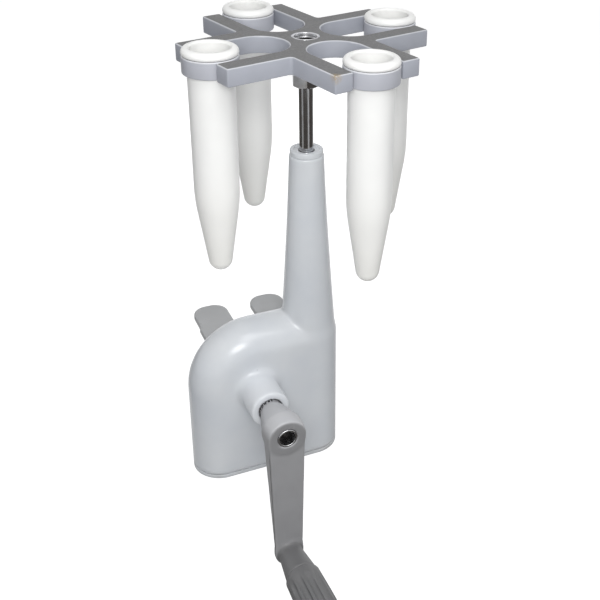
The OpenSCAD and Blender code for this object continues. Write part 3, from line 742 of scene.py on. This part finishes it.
def circle(radius, x=0.0, y=0.0, count=48):
    angles = [2 * math.pi * k / count for k in range(count)]
    return [(x + radius * math.cos(a), y + radius * math.sin(a)) for a in angles]


def stadium(radius, left, count=32):
    """An outline with two round ends, about the origin and about a place on its left."""
    angles = [math.pi * k / count for k in range(count + 1)]
    right = [(radius * math.sin(a), -radius * math.cos(a)) for a in angles]
    return right + [(left - x, -y) for x, y in right]


case_edge = case_sizes["Edge radius"]
foot_hole, cover_hole = 6.05, 2.55
cover_screws = [(cover_screw_mid + i * cover_screw_x, j * cover_screw_y)
                for i in (-1, 1) for j in (-1, 1)]
base_outlines = [stadium(case_edge, case_edge - case_sizes["Left end"]), circle(foot_hole)]
base_outlines += [circle(cover_hole, x, y, 24) for x, y in cover_screws]
at_base = at_spindle @ Matrix.Translation((0, 0, base_z))
piece("base_cover", plate(base_outlines, cover_thick, 0.35, at_base), case_enamel, "housing",
      ["base_plate"])

# %% Turn the cap ring, the spindle and the nut
cap_low, cap_high = span("neck_cap", "z")
cap_dish, cap_radius = cap_high - 0.7, 8.2
cap = soften([(cap_radius, cap_low, 0.3), (cap_radius, cap_high, 0.7), (6.5, cap_high, 0.4),
              (6.1, cap_dish, 0.4), (spindle_hole, cap_dish, 0.3), (spindle_hole, cap_low, 0.2)])
piece("neck_cap_ring", lathe(cap, at_spindle), case_enamel, "housing",
      ["neck_cap"])
spindle_foot, spindle_top = span("spindle", "z")
rod_radius, stub_radius = 3.5, 3.0
rod = soften([(0, spindle_foot, 0), (rod_radius, spindle_foot, 0.3), (rod_radius, rotor_low, 0.2),
              (stub_radius, rotor_low, 0.1), (stub_radius, spindle_top, 0.2),
              (0, spindle_top, 0)], 3)
piece("spindle_rod", lathe(rod, at_spindle), chrome, "rotor", ["spindle"])


def hexagon_nut(flats, bore, low, high, place, turns=96):
    """A nut whose corners are turned off at both ends."""
    bm = bmesh.new()
    face = flats / 2
    rings = [[] for _ in range(6)]
    for k in range(turns):
        a = 2 * math.pi * k / turns
        out = face / math.cos((a + math.pi / 6) % (math.pi / 3) - math.pi / 6)
        drop = (out - face) * math.tan(math.radians(30)) + 0.25
        profile = [(bore, low), (face - 0.2, low), (out, low + drop), (out, high - drop),
                   (face - 0.2, high), (bore, high)]
        for ring, (r, h) in zip(rings, profile):
            ring.append(bm.verts.new(place @ Vector((r * math.cos(a), r * math.sin(a), h))))
    for ring, other in zip(rings, rings[1:] + rings[:1]):
        for k in range(turns):
            bm.faces.new((ring[k], ring[(k + 1) % turns], other[(k + 1) % turns], other[k]))
    bmesh.ops.recalc_face_normals(bm, faces=bm.faces)
    return bm


nut_low = span("rotor_nut", "z")[0]
nut_flats, nut_bore = 12.5, 3.52
nut_place = at_arm[0] @ Matrix.Rotation(math.radians(30), 4, "Z")
nut = hexagon_nut(nut_flats, nut_bore, nut_low, rotor_low, nut_place)
piece("rotor_collar_nut", nut, chrome, "rotor", ["rotor_nut"], 20)

# %% [markdown]
# ## Rotor
# The rotor is a flat moulding: a cross whose four arms are each slotted by a pocket
# for a bucket. Its outline is a closed path with a small rounding at every corner.
# The bores for the trunnions are then cut out of the arms, as a drill would. A steel
# bush is pressed into its middle, flush with the top, and its recess is painted dark as
# painted shade.

# %% Outline of the rotor
def arc(x, y, radius, start, sweep=90, steps=10):
    """Part of a circle about (x, y), as plain corners of an outline."""
    angles = [math.radians(start + sweep * k / steps) for k in range(steps + 1)]
    return [(x + radius * math.cos(a), y + radius * math.sin(a), 0) for a in angles]


def pocketed_cross(half_width, reach, pocket, pocket_at, inner, outer):
    """A cross whose inner and outer corners are rounded by those radii."""
    path = []
    for k in range(4):
        arm = [(half_width, -half_width, inner), (reach, -half_width, outer),
               (reach, -pocket, outer)]
        arm += arc(pocket_at, 0, pocket, -90, -180, 24)
        arm += [(reach, pocket, outer), (reach, half_width, outer)]
        turn = Matrix.Rotation(math.radians(90 * k), 2)
        path += [(*(turn @ Vector((x, y))), r) for x, y, r in arm]
    return soften(path, 3)


pocket_radius, pocket_at = 13.5, 25.0
cross = pocketed_cross(arm_half_width, arm_reach, pocket_radius, pocket_at, 1.6, 0.8)
print("outline of the rotor with", len(cross), "points")

# %% Drill the rotor
def drill(blank, tool):
    """Cuts the tool out of the blank. Both are closed bench meshes."""
    made = []
    for shape in (blank, tool):
        mesh = bpy.data.meshes.new("drilled")
        shape.to_mesh(mesh)
        shape.free()
        made.append(in_scene("drilled", mesh))
    cut = made[0].modifiers.new("cut", "BOOLEAN")
    cut.operation = "DIFFERENCE"
    cut.solver = "EXACT"
    cut.object = made[1]
    bm = bmesh.new()
    bm.from_mesh(take_off(made[0], cut))
    bpy.data.objects.remove(made[1])
    bmesh.ops.dissolve_degenerate(bm, dist=0.001, edges=bm.edges)
    bmesh.ops.remove_doubles(bm, verts=bm.verts, dist=0.001)
    return bm


bush_hole, bore_radius, bore_end = 6.12, 2.05, 18.8
cross_place = at_arm[0] @ Matrix.Translation((0, 0, rotor_low))
rotor_blank = plate([cross, circle(bush_hole)], rotor_high - rotor_low, 0.7, cross_place)
rotor_mid = (rotor_low + rotor_high) / 2
bore_outline = [(0, -bore_end), (bore_radius, -bore_end), (bore_radius, bore_end),
                (0, bore_end)]
trunnion_bores = bmesh.new()
for arm in at_arm:
    lying_bore = arm @ Matrix.Translation((bucket_reach, 0, rotor_mid)) @ front
    lathe(bore_outline, lying_bore, 32, trunnion_bores)
piece("rotor_moulding", drill(rotor_blank, trunnion_bores), rotor_plastic, "rotor",
      ["rotor_cross"], 30)

# %% Bush in the rotor
def recess_shade(wiring, where):
    """Painted shade: the recess of the bush is painted dark."""
    x, y, z = wiring.split(where)
    inside = 1 - distance(x - spindle_x * MM, y - spindle_y * MM).ramp(0.0053, 0.0057)
    return (rotor_high * MM - z).ramp(0.0015, 0.0024) * inside


bush_steel = metal("bush_steel", steel_bright, steel_stain, 0.22, upright, recess_shade)
dish_low = rotor_high - 2.0
bush_bore, bush_radius, dish_radius, head_radius = 3.02, 6.1, 5.5, 4.72
bush = soften([(bush_bore, rotor_low, 0.1), (bush_radius, rotor_low, 0.1),
               (bush_radius, rotor_high, 0.25), (dish_radius, rotor_high, 0.25),
               (dish_radius, dish_low, 0.3), (head_radius, dish_low, 0.3),
               (head_radius, spindle_top, 0), (bush_bore, spindle_top, 0)], 4)
piece("rotor_bush_ring", lathe(bush, at_spindle), bush_steel, "rotor", ["rotor_bush"], 50)
print("rotor from", round(rotor_low, 2), "to", round(rotor_high, 2))

# %% [markdown]
# ## Buckets and their rings
# Each bucket hangs in a carrier ring whose two trunnions turn in the rotor's arms. A
# bucket is a thin white moulding: a thick rounded lip, a straight wall, a cone and a
# round tip. Turned outlines make both, and the ring's trunnions are turned crosswise.

# %% Outlines of rings and buckets
ring_low, ring_high = span("carrier_ring_1", "z")
ring_radius, ring_bore = 12.7, 10.52
ring_outline = soften([(ring_radius, ring_low, 0.6), (ring_radius, ring_high, 0.7),
                       (ring_bore, ring_high, 0.3), (ring_bore, ring_low, 0.3)], 4)
trunnion_radius, trunnion_root, trunnion_end = 2.0, 11.6, 18.5
trunnion = soften([(0, trunnion_root, 0), (trunnion_radius, trunnion_root, 0),
                   (trunnion_radius, trunnion_end, 0.3), (0, trunnion_end, 0)], 3)
tip, lip = span("tube_bucket_1", "z")
bucket_radius, bucket_wall, tip_radius, cone_slope = 10.5, 1.5, 5.7, 8.4
lip_over, lip_under, lip_chamfer = 2.2, 1.2, 0.8
bucket_bore = bucket_radius - bucket_wall
tip_centre, cone_high = tip + tip_radius, tip + 37.4
bucket_outline = arc(0, tip_centre, tip_radius, -90, 90 - cone_slope)
bucket_outline += [(bucket_radius, cone_high, 90.0), (bucket_radius, ring_high, 0.2)]
bucket_outline += arc(ring_radius - lip_under, ring_high + lip_under, lip_under, -90)
bucket_outline += arc(ring_radius - lip_over, lip - lip_over, lip_over, 0)
bucket_outline += [(bucket_bore + lip_chamfer, lip, 0.25), (bucket_bore, lip - lip_chamfer, 0.3),
                   (bucket_bore, cone_high, 90.0)]
bucket_outline += arc(0, tip_centre, tip_radius - bucket_wall, -cone_slope, cone_slope - 90)
bucket_outline = soften(bucket_outline, 7)
print("bucket from", round(tip, 2), "to", round(lip, 2))

# %% Four rings and four buckets
for k, arm in enumerate(at_arm, 1):
    hung = arm @ Matrix.Translation((bucket_reach, 0, 0))
    ring = lathe(ring_outline, hung, 96)
    for way in (0, 180):
        turned = Matrix.Rotation(math.radians(way), 4, "Z") @ front
        lathe(trunnion, hung @ Matrix.Translation((0, 0, rotor_mid)) @ turned, 32, ring)
    piece("ring_%d" % k, ring, ring_plastic, "bucket_%d" % k,
          ["carrier_ring_%d" % k])
    piece("bucket_shell_%d" % k, lathe(bucket_outline, hung, 96), bucket_plastic,
          "bucket_%d" % k, ["tube_bucket_%d" % k], 50)

# %% [markdown]
# ## Crank arm
# The arm is one moulding with a tapered hub, a flat arm that thins towards the handle,
# a hollow back and a tapered boss for the handle's pin. Its edges are all softly
# rounded and its forms run into each other, so it is grown from distances as well. A
# turned steel sleeve lines its hub.

# %% Grow the crank arm
handle_front = in_front("crank_arm")[1]
arm_front, arm_back, thin_back = 59.0, 49.5, 55.5
thins_from, thins_to, channel_from, channel_to = 10.8, 67.6, 12.8, 65.6
nose_back, nose_radius, hub_wide, hub_swell, hub_taper = 30.3, 5.5, 51.0, 4.8, 0.9
cone_length, cone_radius, cone_flare = 20.0, 6.1, 2.2
shaft_hole, pin_hole, arm_edge, cone_edge = 5.02, 3.02, 0.5, 0.7
hub_fillet, cone_fillet = 1.6, 3.5


def crank_rule(wiring, given):
    x, y, z = bench(wiring, (crank_x, spindle_y, crank_z))
    out = -y
    throw, r1, r2 = given["Throw"], given["Hub end"], given["Handle end"]
    lean = (r1 - r2) / throw
    along = ((-z - abs(x) * lean) / throw).at_least(0.0).at_most(1.0)
    outline = distance(x, z + throw * along) - (r1 + (r2 - r1) * along)
    back = arm_back + (thin_back - arm_back) * (-z).ramp(thins_from, thins_to)
    blade = corner(outline, slab(out, back, arm_front), arm_edge)
    swell = hub_swell * out.ramp(boss_end, hub_wide) ** 0.9
    flare = nose_radius + swell - hub_taper * out.ramp(hub_wide, arm_front) ** 1.5
    off = distance(x, z)
    hub = corner(off - flare, slab(out, nose_back, arm_front), arm_edge)
    low = distance(x, z + throw)
    cone = low - (cone_radius + cone_flare * out.ramp(arm_front, handle_front))
    cone = corner(cone, slab(out, handle_front - cone_length, handle_front), cone_edge)
    form = melt(melt(blade, hub, hub_fillet), cone, cone_fillet)
    wall = given["Wall"]
    channel = abs(x) - (r1 - wall + (r2 - r1) * (-z).ramp(0.0, throw))
    channel = channel.at_least(z + channel_from).at_least(-channel_to - z)
    channel = channel.at_least(out - (arm_front - wall))
    for cut in (channel, off - shaft_hole, low - pin_hole):
        form = form.at_least(-cut)
    return cast(wiring, form, (crank_x - 14, spindle_y - handle_front - 2, crank_z - 84),
                (crank_x + 14, spindle_y - nose_back + 2, crank_z + 14), 0.5)


crank_sizes = {"Throw": crank_z - handle_z, "Hub end": 9.2, "Handle end": 7.2, "Wall": 2.0}
piece("crank_moulding", grow("crank_arm_tree", crank_rule, crank_sizes, crank_plastic),
      crank_plastic, "crank", ["crank_arm"], 60)

# %% Turn the sleeve in the hub
sleeve_back, sleeve_front = in_front("crank_sleeve")
sleeve_radius, sleeve_bore = 5.0, 4.02
sleeve = soften([(sleeve_radius, sleeve_back, 0.2), (sleeve_radius, sleeve_front, 0.35),
                 (sleeve_bore, sleeve_front, 0.25), (sleeve_bore, sleeve_back, 0.1)], 4)
piece("hub_sleeve", lathe(sleeve, at_crank), crank_steel, "crank", ["crank_sleeve"], 50)

# %% [markdown]
# ## Handle grip
# The grip is a fluted barrel that spins on its pin. The lathe gives the plain barrel,
# and a tree of Geometry Nodes presses the flutes into it: each point looks up its angle
# within one flute and moves in to the flute's round bottom where that lies deeper.

# %% Grow the flutes
grip_from, grip_to = in_front("handle_grip")
grip_end, grip_swell, swell_length, swell_steps = 9.0, 0.7, 57.0, 24
grip_bore, grip_core, sink_radius, sink_depth = 3.06, 5.6, 5.3, 3.0
run_out_from, run_out_to, run_out_lift, no_flute = 5.2, 8.7, 1.4, 50.0


def move_points(wiring, shape, x, y, z):
    """Moves each point of a shape to a place in millimetres."""
    place = wiring.node("ShaderNodeCombineXYZ", None, {"X": x * MM, "Y": y * MM, "Z": z * MM})
    return wiring.node("GeometryNodeSetPosition", None, {"Geometry": shape, "Position": place})


def flute_rule(wiring, given):
    x, y, z = bench(wiring, (crank_x, 0.0, handle_z))
    step = 2 * math.pi / given["Flutes"]
    turn = x.math("ARCTAN2", x, z) / step
    turn = (turn - turn.math("ROUND", turn)) * step
    rise = 1.0 - (spindle_y - y - grip_from).ramp(run_out_from, run_out_to)
    centre = given["Barrel radius"] + given["Flute radius"] - given["Flute depth"]
    centre = centre + rise * run_out_lift
    across = centre * turn.math("SINE", turn)
    room = given["Flute radius"] ** 2.0 - across * across
    bottom = centre * turn.math("COSINE", turn) - room.at_least(0.0).root()
    bottom = bottom + no_flute * (room < 0.0)
    radius = distance(x, z)
    scale = radius.at_most(bottom.at_least(grip_core)) / radius.at_least(0.001)
    return move_points(wiring, given["Geometry"], x * scale + crank_x, y, z * scale + handle_z)


barrel = [(grip_bore, grip_from, 0), (grip_end, grip_from, 1.0)]
for k in range(1, swell_steps):
    part = k / swell_steps
    barrel.append((grip_end + grip_swell * math.sin(math.pi * part),
                   grip_from + 1.0 + swell_length * part, 0))
barrel += [(grip_end, grip_to, 2.4), (sink_radius, grip_to, 0.4),
           (sink_radius, grip_to - sink_depth, 0.2), (grip_bore, grip_to - sink_depth, 0)]
barrel_mesh = off_bench(lathe(soften(barrel, 6), at_handle, 240), "barrel")
flute_sizes = {"Flutes": 12.0, "Barrel radius": grip_end, "Flute radius": 1.8, "Flute depth": 0.9}
piece("grip_barrel", grow("grip_tree", flute_rule, flute_sizes, grip_plastic, barrel_mesh),
      grip_plastic, "grip", ["handle_grip"], 60)

# %% [markdown]
# ## Table clamp
# Two flat tongues behind the case are the upper jaw of a clamp. The rest of the clamp
# is hidden in the photograph and is made as such clamps are: a plate behind the case, a
# lower arm, and a threaded screw with a pad and a tommy bar. The bracket is a casting,
# so it is grown as the case was. The thread is pressed into a turned stem, as the
# flutes were, but by a rule that climbs as it goes round.

# %% Grow the clamp bracket
finger_tip = span("clamp_bracket", "y")[1]
jaw_top, finger_round, web_front = 4.0, 8.0, 6.0
plate_rear, plate_front, plate_top = -11.0, -6.0, 1.0
arm_low, arm_high, arm_half, arm_tip, arm_round = -58.5, -48.5, 12.0, 22.0, 11.9
stem_hole, stem_hole_top, sink_wide, sink_hole = 5.05, -30.0, 4.02, 2.02


def bracket_rule(wiring, given):
    x, y, z = bench(wiring, (0.0, 0.0, 0.0))
    half, gap, tip = given["Half width"], given["Half gap"], given["Finger tip"]
    finger = corner(slab(abs(x), gap, half), y - tip, finger_round)
    web = (abs(x) - half).at_least(y - web_front)
    jaw = melt(finger, web, 3.0).at_least(plate_rear - y)
    jaw = corner(jaw, slab(z, 0.0, jaw_top), 0.8)
    back = corner(abs(x) - half, slab(y, plate_rear, plate_front), 0.8)
    back = back.at_least(z - plate_top).at_least(arm_low - z)
    arm = corner(abs(x) - arm_half, y - arm_tip, arm_round).at_least(plate_rear - y)
    arm = corner(arm, slab(z, arm_low, arm_high), 1.0)
    form = melt(melt(jaw, back, 2.0), arm, 4.0).at_least(plate_rear - y)
    bore = distance(x, y - clamp_y) - stem_hole
    sunk = distance(abs(x) - plate_screw_x, abs(z - plate_screw_mid) - plate_screw_z)
    sunk = sunk - (sink_wide + (y - plate_front)).at_least(sink_hole)
    for cut in (bore.at_least(z - stem_hole_top), sunk.at_least(y - plate_front - 1.0)):
        form = form.at_least(-cut)
    return cast(wiring, form, (-28, -13, -61), (28, finger_tip + 2, 6), 0.6)


bracket_sizes = {"Half width": 25.75, "Half gap": 6.75, "Finger tip": finger_tip}
piece("clamp_casting", grow("bracket_tree", bracket_rule, bracket_sizes, bracket_paint),
      bracket_paint, "housing", ["clamp_bracket"], 60)

# %% Grow the thread of the clamp screw
screw_low, screw_top = span("clamp_screw", "z")[0], -24.0
stem_radius, neck_radius, stem_rings = 5.0, 3.5, 240
stem_low, stem_high = screw_low + 0.8, -27.02
run_in, run_out, only_stem = (-73.0, -70.0), (-31.0, -29.0), 4.4


def thread_rule(wiring, given):
    x, y, z = bench(wiring, (0.0, clamp_y, 0.0))
    turn = x.math("ARCTAN2", y, x) / (2 * math.pi)
    place = z / given["Pitch"] - turn
    place = abs(place - place.math("ROUND", place)) * 2.0
    amount = place.ramp(0.25, 0.75) * z.ramp(*run_in) * (1.0 - z.ramp(*run_out))
    radius = distance(x, y)
    scale = 1.0 - given["Depth"] * amount * (radius > only_stem) / radius.at_least(0.001)
    return move_points(wiring, given["Geometry"], x * scale, y * scale + clamp_y, z)


stem = [(0, screw_low), (stem_radius - 0.8, screw_low)]
stem += [(stem_radius, stem_low + (stem_high - stem_low) * k / stem_rings)
         for k in range(stem_rings + 1)]
stem += [(neck_radius, stem_high), (neck_radius, screw_top - 0.2),
         (neck_radius - 0.3, screw_top), (0, screw_top)]
stem_mesh = off_bench(lathe(stem, at_clamp, 48), "stem")
thread_sizes = {"Pitch": 3.0, "Depth": 0.8}
piece("clamp_spindle", grow("thread_tree", thread_rule, thread_sizes, steel, stem_mesh),
      steel, "clamp_screw", ["clamp_screw"], 40)

# %% Pad, tommy bar and its caps
pad_top, pad_low, pad_seat = -22.0, -27.0, -23.98
pad_outline = [(0, pad_top, 0)]
for groove in (3.4, 6.6):
    pad_outline += [(groove - 0.4, pad_top, 0), (groove, pad_top - 0.5, 0),
                    (groove + 0.4, pad_top, 0)]
pad_outline += [(10.0, pad_top, 0.6), (10.0, -25.4, 1.2), (6.5, pad_low, 1.0),
                (3.55, pad_low, 0.2), (3.55, pad_seat, 0), (0, pad_seat, 0)]
pad = soften(pad_outline, 4)
piece("pressure_pad", lathe(pad, at_clamp), steel, "clamp_pad", ["clamp_pad"])
bar_z = sum(span("clamp_bar", "z")) / 2
bar_end, bar_radius = 26.0, 2.5
bar_place = Matrix.Translation((0, clamp_y, bar_z)) @ Matrix.Rotation(math.radians(90), 4, "Y")
bar = soften([(0, -bar_end, 0), (bar_radius, -bar_end, 0.4), (bar_radius, bar_end, 0.4),
              (0, bar_end, 0)], 3)
piece("tommy_bar", lathe(bar, bar_place, 48), steel, "clamp_screw", ["clamp_bar"])
end_cap_radius, end_cap_root, end_cap_tip, play = 4.0, 21.0, 27.0, 0.02
end_cap = soften([(bar_radius + play, end_cap_root, 0.1), (end_cap_radius, end_cap_root, 0.8),
                  (end_cap_radius, end_cap_tip, 2.2), (0, end_cap_tip, 0),
                  (0, bar_end + play, 0), (bar_radius + play, bar_end + play, 0)], 5)
caps = lathe(end_cap, bar_place, 48)
lathe(end_cap, bar_place @ Matrix.Rotation(math.radians(180), 4, "X"), 48, caps)
piece("bar_end_caps", caps, crank_plastic, "clamp_screw", ["clamp_bar_caps"])

# %% [markdown]
# ## Screws
# Four screws hold the bracket to the case, and four small ones hold the base plate.
# Each kind is one countersunk screw with a straight slot. The tree puts it on a cloud
# of points, one for each hole, so a new hole would need only one more point.

# %% Grow the screws
def slotted_screw(radius, head, length, name):
    """A countersunk screw on its own bench, head up at height 0."""
    outline = soften([(0, 0, 0), (head, 0, 0.12), (radius, radius - head, 0.2),
                      (radius, -length + 0.5, 0.1), (radius - 0.5, -length, 0.1),
                      (0, -length, 0)], 2)
    slot = bmesh.new()
    slot_size = Matrix.Diagonal((3 * head, 0.3 * head, 0.5 * head, 1.0))
    bmesh.ops.create_cube(slot, size=1.0, matrix=slot_size)
    return in_scene(name, off_bench(drill(lathe(outline, Matrix.Identity(4), 32), slot), name))


def screw_rule(turn):
    """Puts a screw on every point, turned that way and at random about its own axis."""
    def rule(wiring, given):
        pattern = wiring.node("GeometryNodeObjectInfo", None, {
            "Object": given["Screw"]}, "Geometry")
        spin = wiring.node("FunctionNodeRandomValue", {"data_type": "FLOAT"}, {
            2: 0.0, 3: 3.1, "Seed": 7}, 1)
        own = wiring.node("ShaderNodeCombineXYZ", None, {"Z": spin})
        way = wiring.node("FunctionNodeRotateRotation", {"rotation_space": "LOCAL"}, {
            "Rotation": wiring.node("FunctionNodeEulerToRotation", None, {0: turn}),
            "Rotate By": wiring.node("FunctionNodeEulerToRotation", None, {0: own})})
        spots = wiring.node("GeometryNodeMeshToPoints", None, {0: given["Geometry"]})
        return wiring.node("GeometryNodeInstanceOnPoints", None, {
            "Points": spots, "Instance": pattern, "Rotation": way})
    return rule


def screws(name, spots, turn, pattern, stands_for):
    cloud = bpy.data.meshes.new(name)
    cloud.from_pydata([Vector(spot) * MM for spot in spots], [], [])
    mesh = grow(name + "_tree", screw_rule(turn), {"Screw": pattern}, steel, cloud)
    bpy.data.objects.remove(pattern)
    piece(name, mesh, steel, "housing", [stands_for], 35)


plate_spots = [(i * plate_screw_x, plate_front, plate_screw_mid + j * plate_screw_z)
               for i in (-1, 1) for j in (-1, 1)]
screws("clamp_plate_screws", plate_spots, (-math.pi / 2, 0.0, 0.0),
       slotted_screw(2.0, 4.0, 11.0, "plate_screw"), "bracket_screws")
cover_spots = [(spindle_x + x, spindle_y + y, base_z) for x, y in cover_screws]
screws("base_cover_screws", cover_spots, (math.pi, 0.0, 0.0),
       slotted_screw(1.25, 2.5, 8.9, "cover_screw"), "base_screws")

# %% [markdown]
# ## Works inside
# The gears, bushes and pins are seldom seen, and their CAD shapes are right as they
# are. They keep their meshes and only get a finish, by assigning to the material slot
# of each CAD object.

# %% Finish the CAD nodes that stay
works = {bronze: ["upper_bush", "foot_bearing", "crank_bush_front", "crank_bush_rear"],
         brass: ["worm_wheel"],
         steel: ["thrust_ball", "worm", "worm_pin", "wheel_pin", "handle_pin", "crank_grub_screw"],
         dark_steel: ["crank_shaft", "rotor_screw"]}
for material, names in works.items():
    for name in names:
        nodes[name].data.materials.clear()
        nodes[name].data.materials.append(material)
print("finished", sum(map(len, works.values())), "CAD nodes")

# %% [markdown]
# ## Camera
# The camera was fitted to the straight edges of the rotor and the case in the
# photograph. The photograph is a crop, so its optical axis is off the middle, and the
# lens shift allows for that.

# %% Camera
stand = Vector((-138.44, -451.99, 302.9)) * MM
yaw, pitch, roll = (math.radians(a) for a in (26.17, 26.897, 1.907))
level = Vector((math.sin(yaw), math.cos(yaw), 0))
ahead = level * math.cos(pitch) - Vector((0, 0, math.sin(pitch)))
across = ahead.cross(Vector((0, 0, 1))).normalized()
above = across.cross(ahead)
right = across * math.cos(roll) + above * math.sin(roll)
upward = above * math.cos(roll) - across * math.sin(roll)
lens = bpy.data.cameras.new("camera")
lens.sensor_width = 36.0
lens.lens = 60.216
lens.shift_x = -0.15
lens.shift_y = -0.1215
camera = in_scene("camera", lens)
turned = Matrix((right, upward, -ahead)).transposed().to_4x4()
camera.matrix_world = Matrix.Translation(stand) @ turned
bpy.context.scene.camera = camera
print("camera", round(camera.location.length, 3), "m from the origin")

# %% [markdown]
# ## Studio
# One small lamp stands by the camera, as the flash did, a wide one hangs above and
# another wide one lights the back. The world is white to the camera and to
# reflections, and a quiet grey as light. The floor lies far below and takes a faint
# shadow. In front and on the left it looks dim to reflections, as a room would, and
# that gives the polished spindle its dark bands.

# %% World
def seen(wiring):
    """1 where the camera, a reflection or a view through glass looks, and 0 for light."""
    path = wiring.node("ShaderNodeLightPath").socket.node
    looks = [Wire(wiring, path.outputs["Is %s Ray" % kind])
             for kind in ("Camera", "Glossy", "Transmission")]
    return looks[0].at_least(looks[1]).at_least(looks[2])


scene = bpy.context.scene
scene.view_settings.view_transform = "Standard"
world = bpy.data.worlds.new("studio")
sky = bare_tree(world)
quiet = sky.node("ShaderNodeBackground", None, {"Color": (0.97, 0.98, 1.0, 1.0), "Strength": 0.34})
white = sky.node("ShaderNodeBackground", None, {"Color": (1.0, 1.0, 1.0, 1.0), "Strength": 1.0})
both = sky.node("ShaderNodeMixShader", None, {0: seen(sky), 1: quiet, 2: white})
sky.node("ShaderNodeOutputWorld", None, {"Surface": both})
scene.world = world
print("made the world", world.name)

# %% Lamps
lit_spot = Vector((0.0, -0.03, 0.06))


def softbox(name, towards, distance_m, size, energy, mirrored=True):
    """A round lamp that looks at the lit spot from that direction."""
    lamp = bpy.data.lights.new(name, "AREA")
    lamp.shape = "DISK"
    lamp.size = size
    lamp.energy = energy
    made = in_scene(name, lamp)
    towards = Vector(towards).normalized()
    turned = towards.to_track_quat("Z", "Y").to_matrix().to_4x4()
    made.matrix_world = Matrix.Translation(lit_spot + towards * distance_m) @ turned
    made.visible_glossy = mirrored
    print("lamp", name, "of", energy, "W")


softbox("flash", (-0.28, -0.78, 0.53), 0.5, 0.2, 1.2)
softbox("overhead", (0.05, -0.45, 0.89), 1.2, 0.7, 4.4)
softbox("rear", (0.35, 0.92, 0.06), 1.2, 0.5, 4.5, mirrored=False)

# %% Floor
floor_level, floor_half = -0.26, 4.0
dim_front, dim_left = (0.5, 0.0), (-0.05, -0.3)


def floor_material():
    material = bpy.data.materials.new("pale_floor")
    wiring = bare_tree(material)
    matt = wiring.node("ShaderNodeBsdfDiffuse", None, {"Color": (0.85, 0.85, 0.85, 1.0)})
    x, y, _ = wiring.split(wiring.node("ShaderNodeTexCoord", None, None, "Object"))
    mirrored = wiring.node("ShaderNodeLightPath", None, None, "Is Glossy Ray")
    dark = y.ramp(*dim_front).at_least(x.ramp(*dim_left)) * mirrored
    colour = wiring.tint((1.0, 1.0, 1.0, 1.0), (0.05, 0.045, 0.04, 1.0), dark)
    glow = wiring.node("ShaderNodeEmission", None, {"Color": colour, "Strength": 1.5})
    both = wiring.node("ShaderNodeMixShader", None, {
        0: seen(wiring) * 0.6 + dark * 0.35, 1: matt, 2: glow})
    wiring.node("ShaderNodeOutputMaterial", None, {"Surface": both})
    return material


corners = [(-floor_half, -floor_half), (floor_half, -floor_half),
           (floor_half, floor_half), (-floor_half, floor_half)]
floor_mesh = bpy.data.meshes.new("floor")
floor_mesh.from_pydata([(x, y, floor_level) for x, y in corners], [], [(0, 1, 2, 3)])
floor_mesh.materials.append(floor_material())
floor = in_scene("floor", floor_mesh)
print("floor at", floor_level, "m")
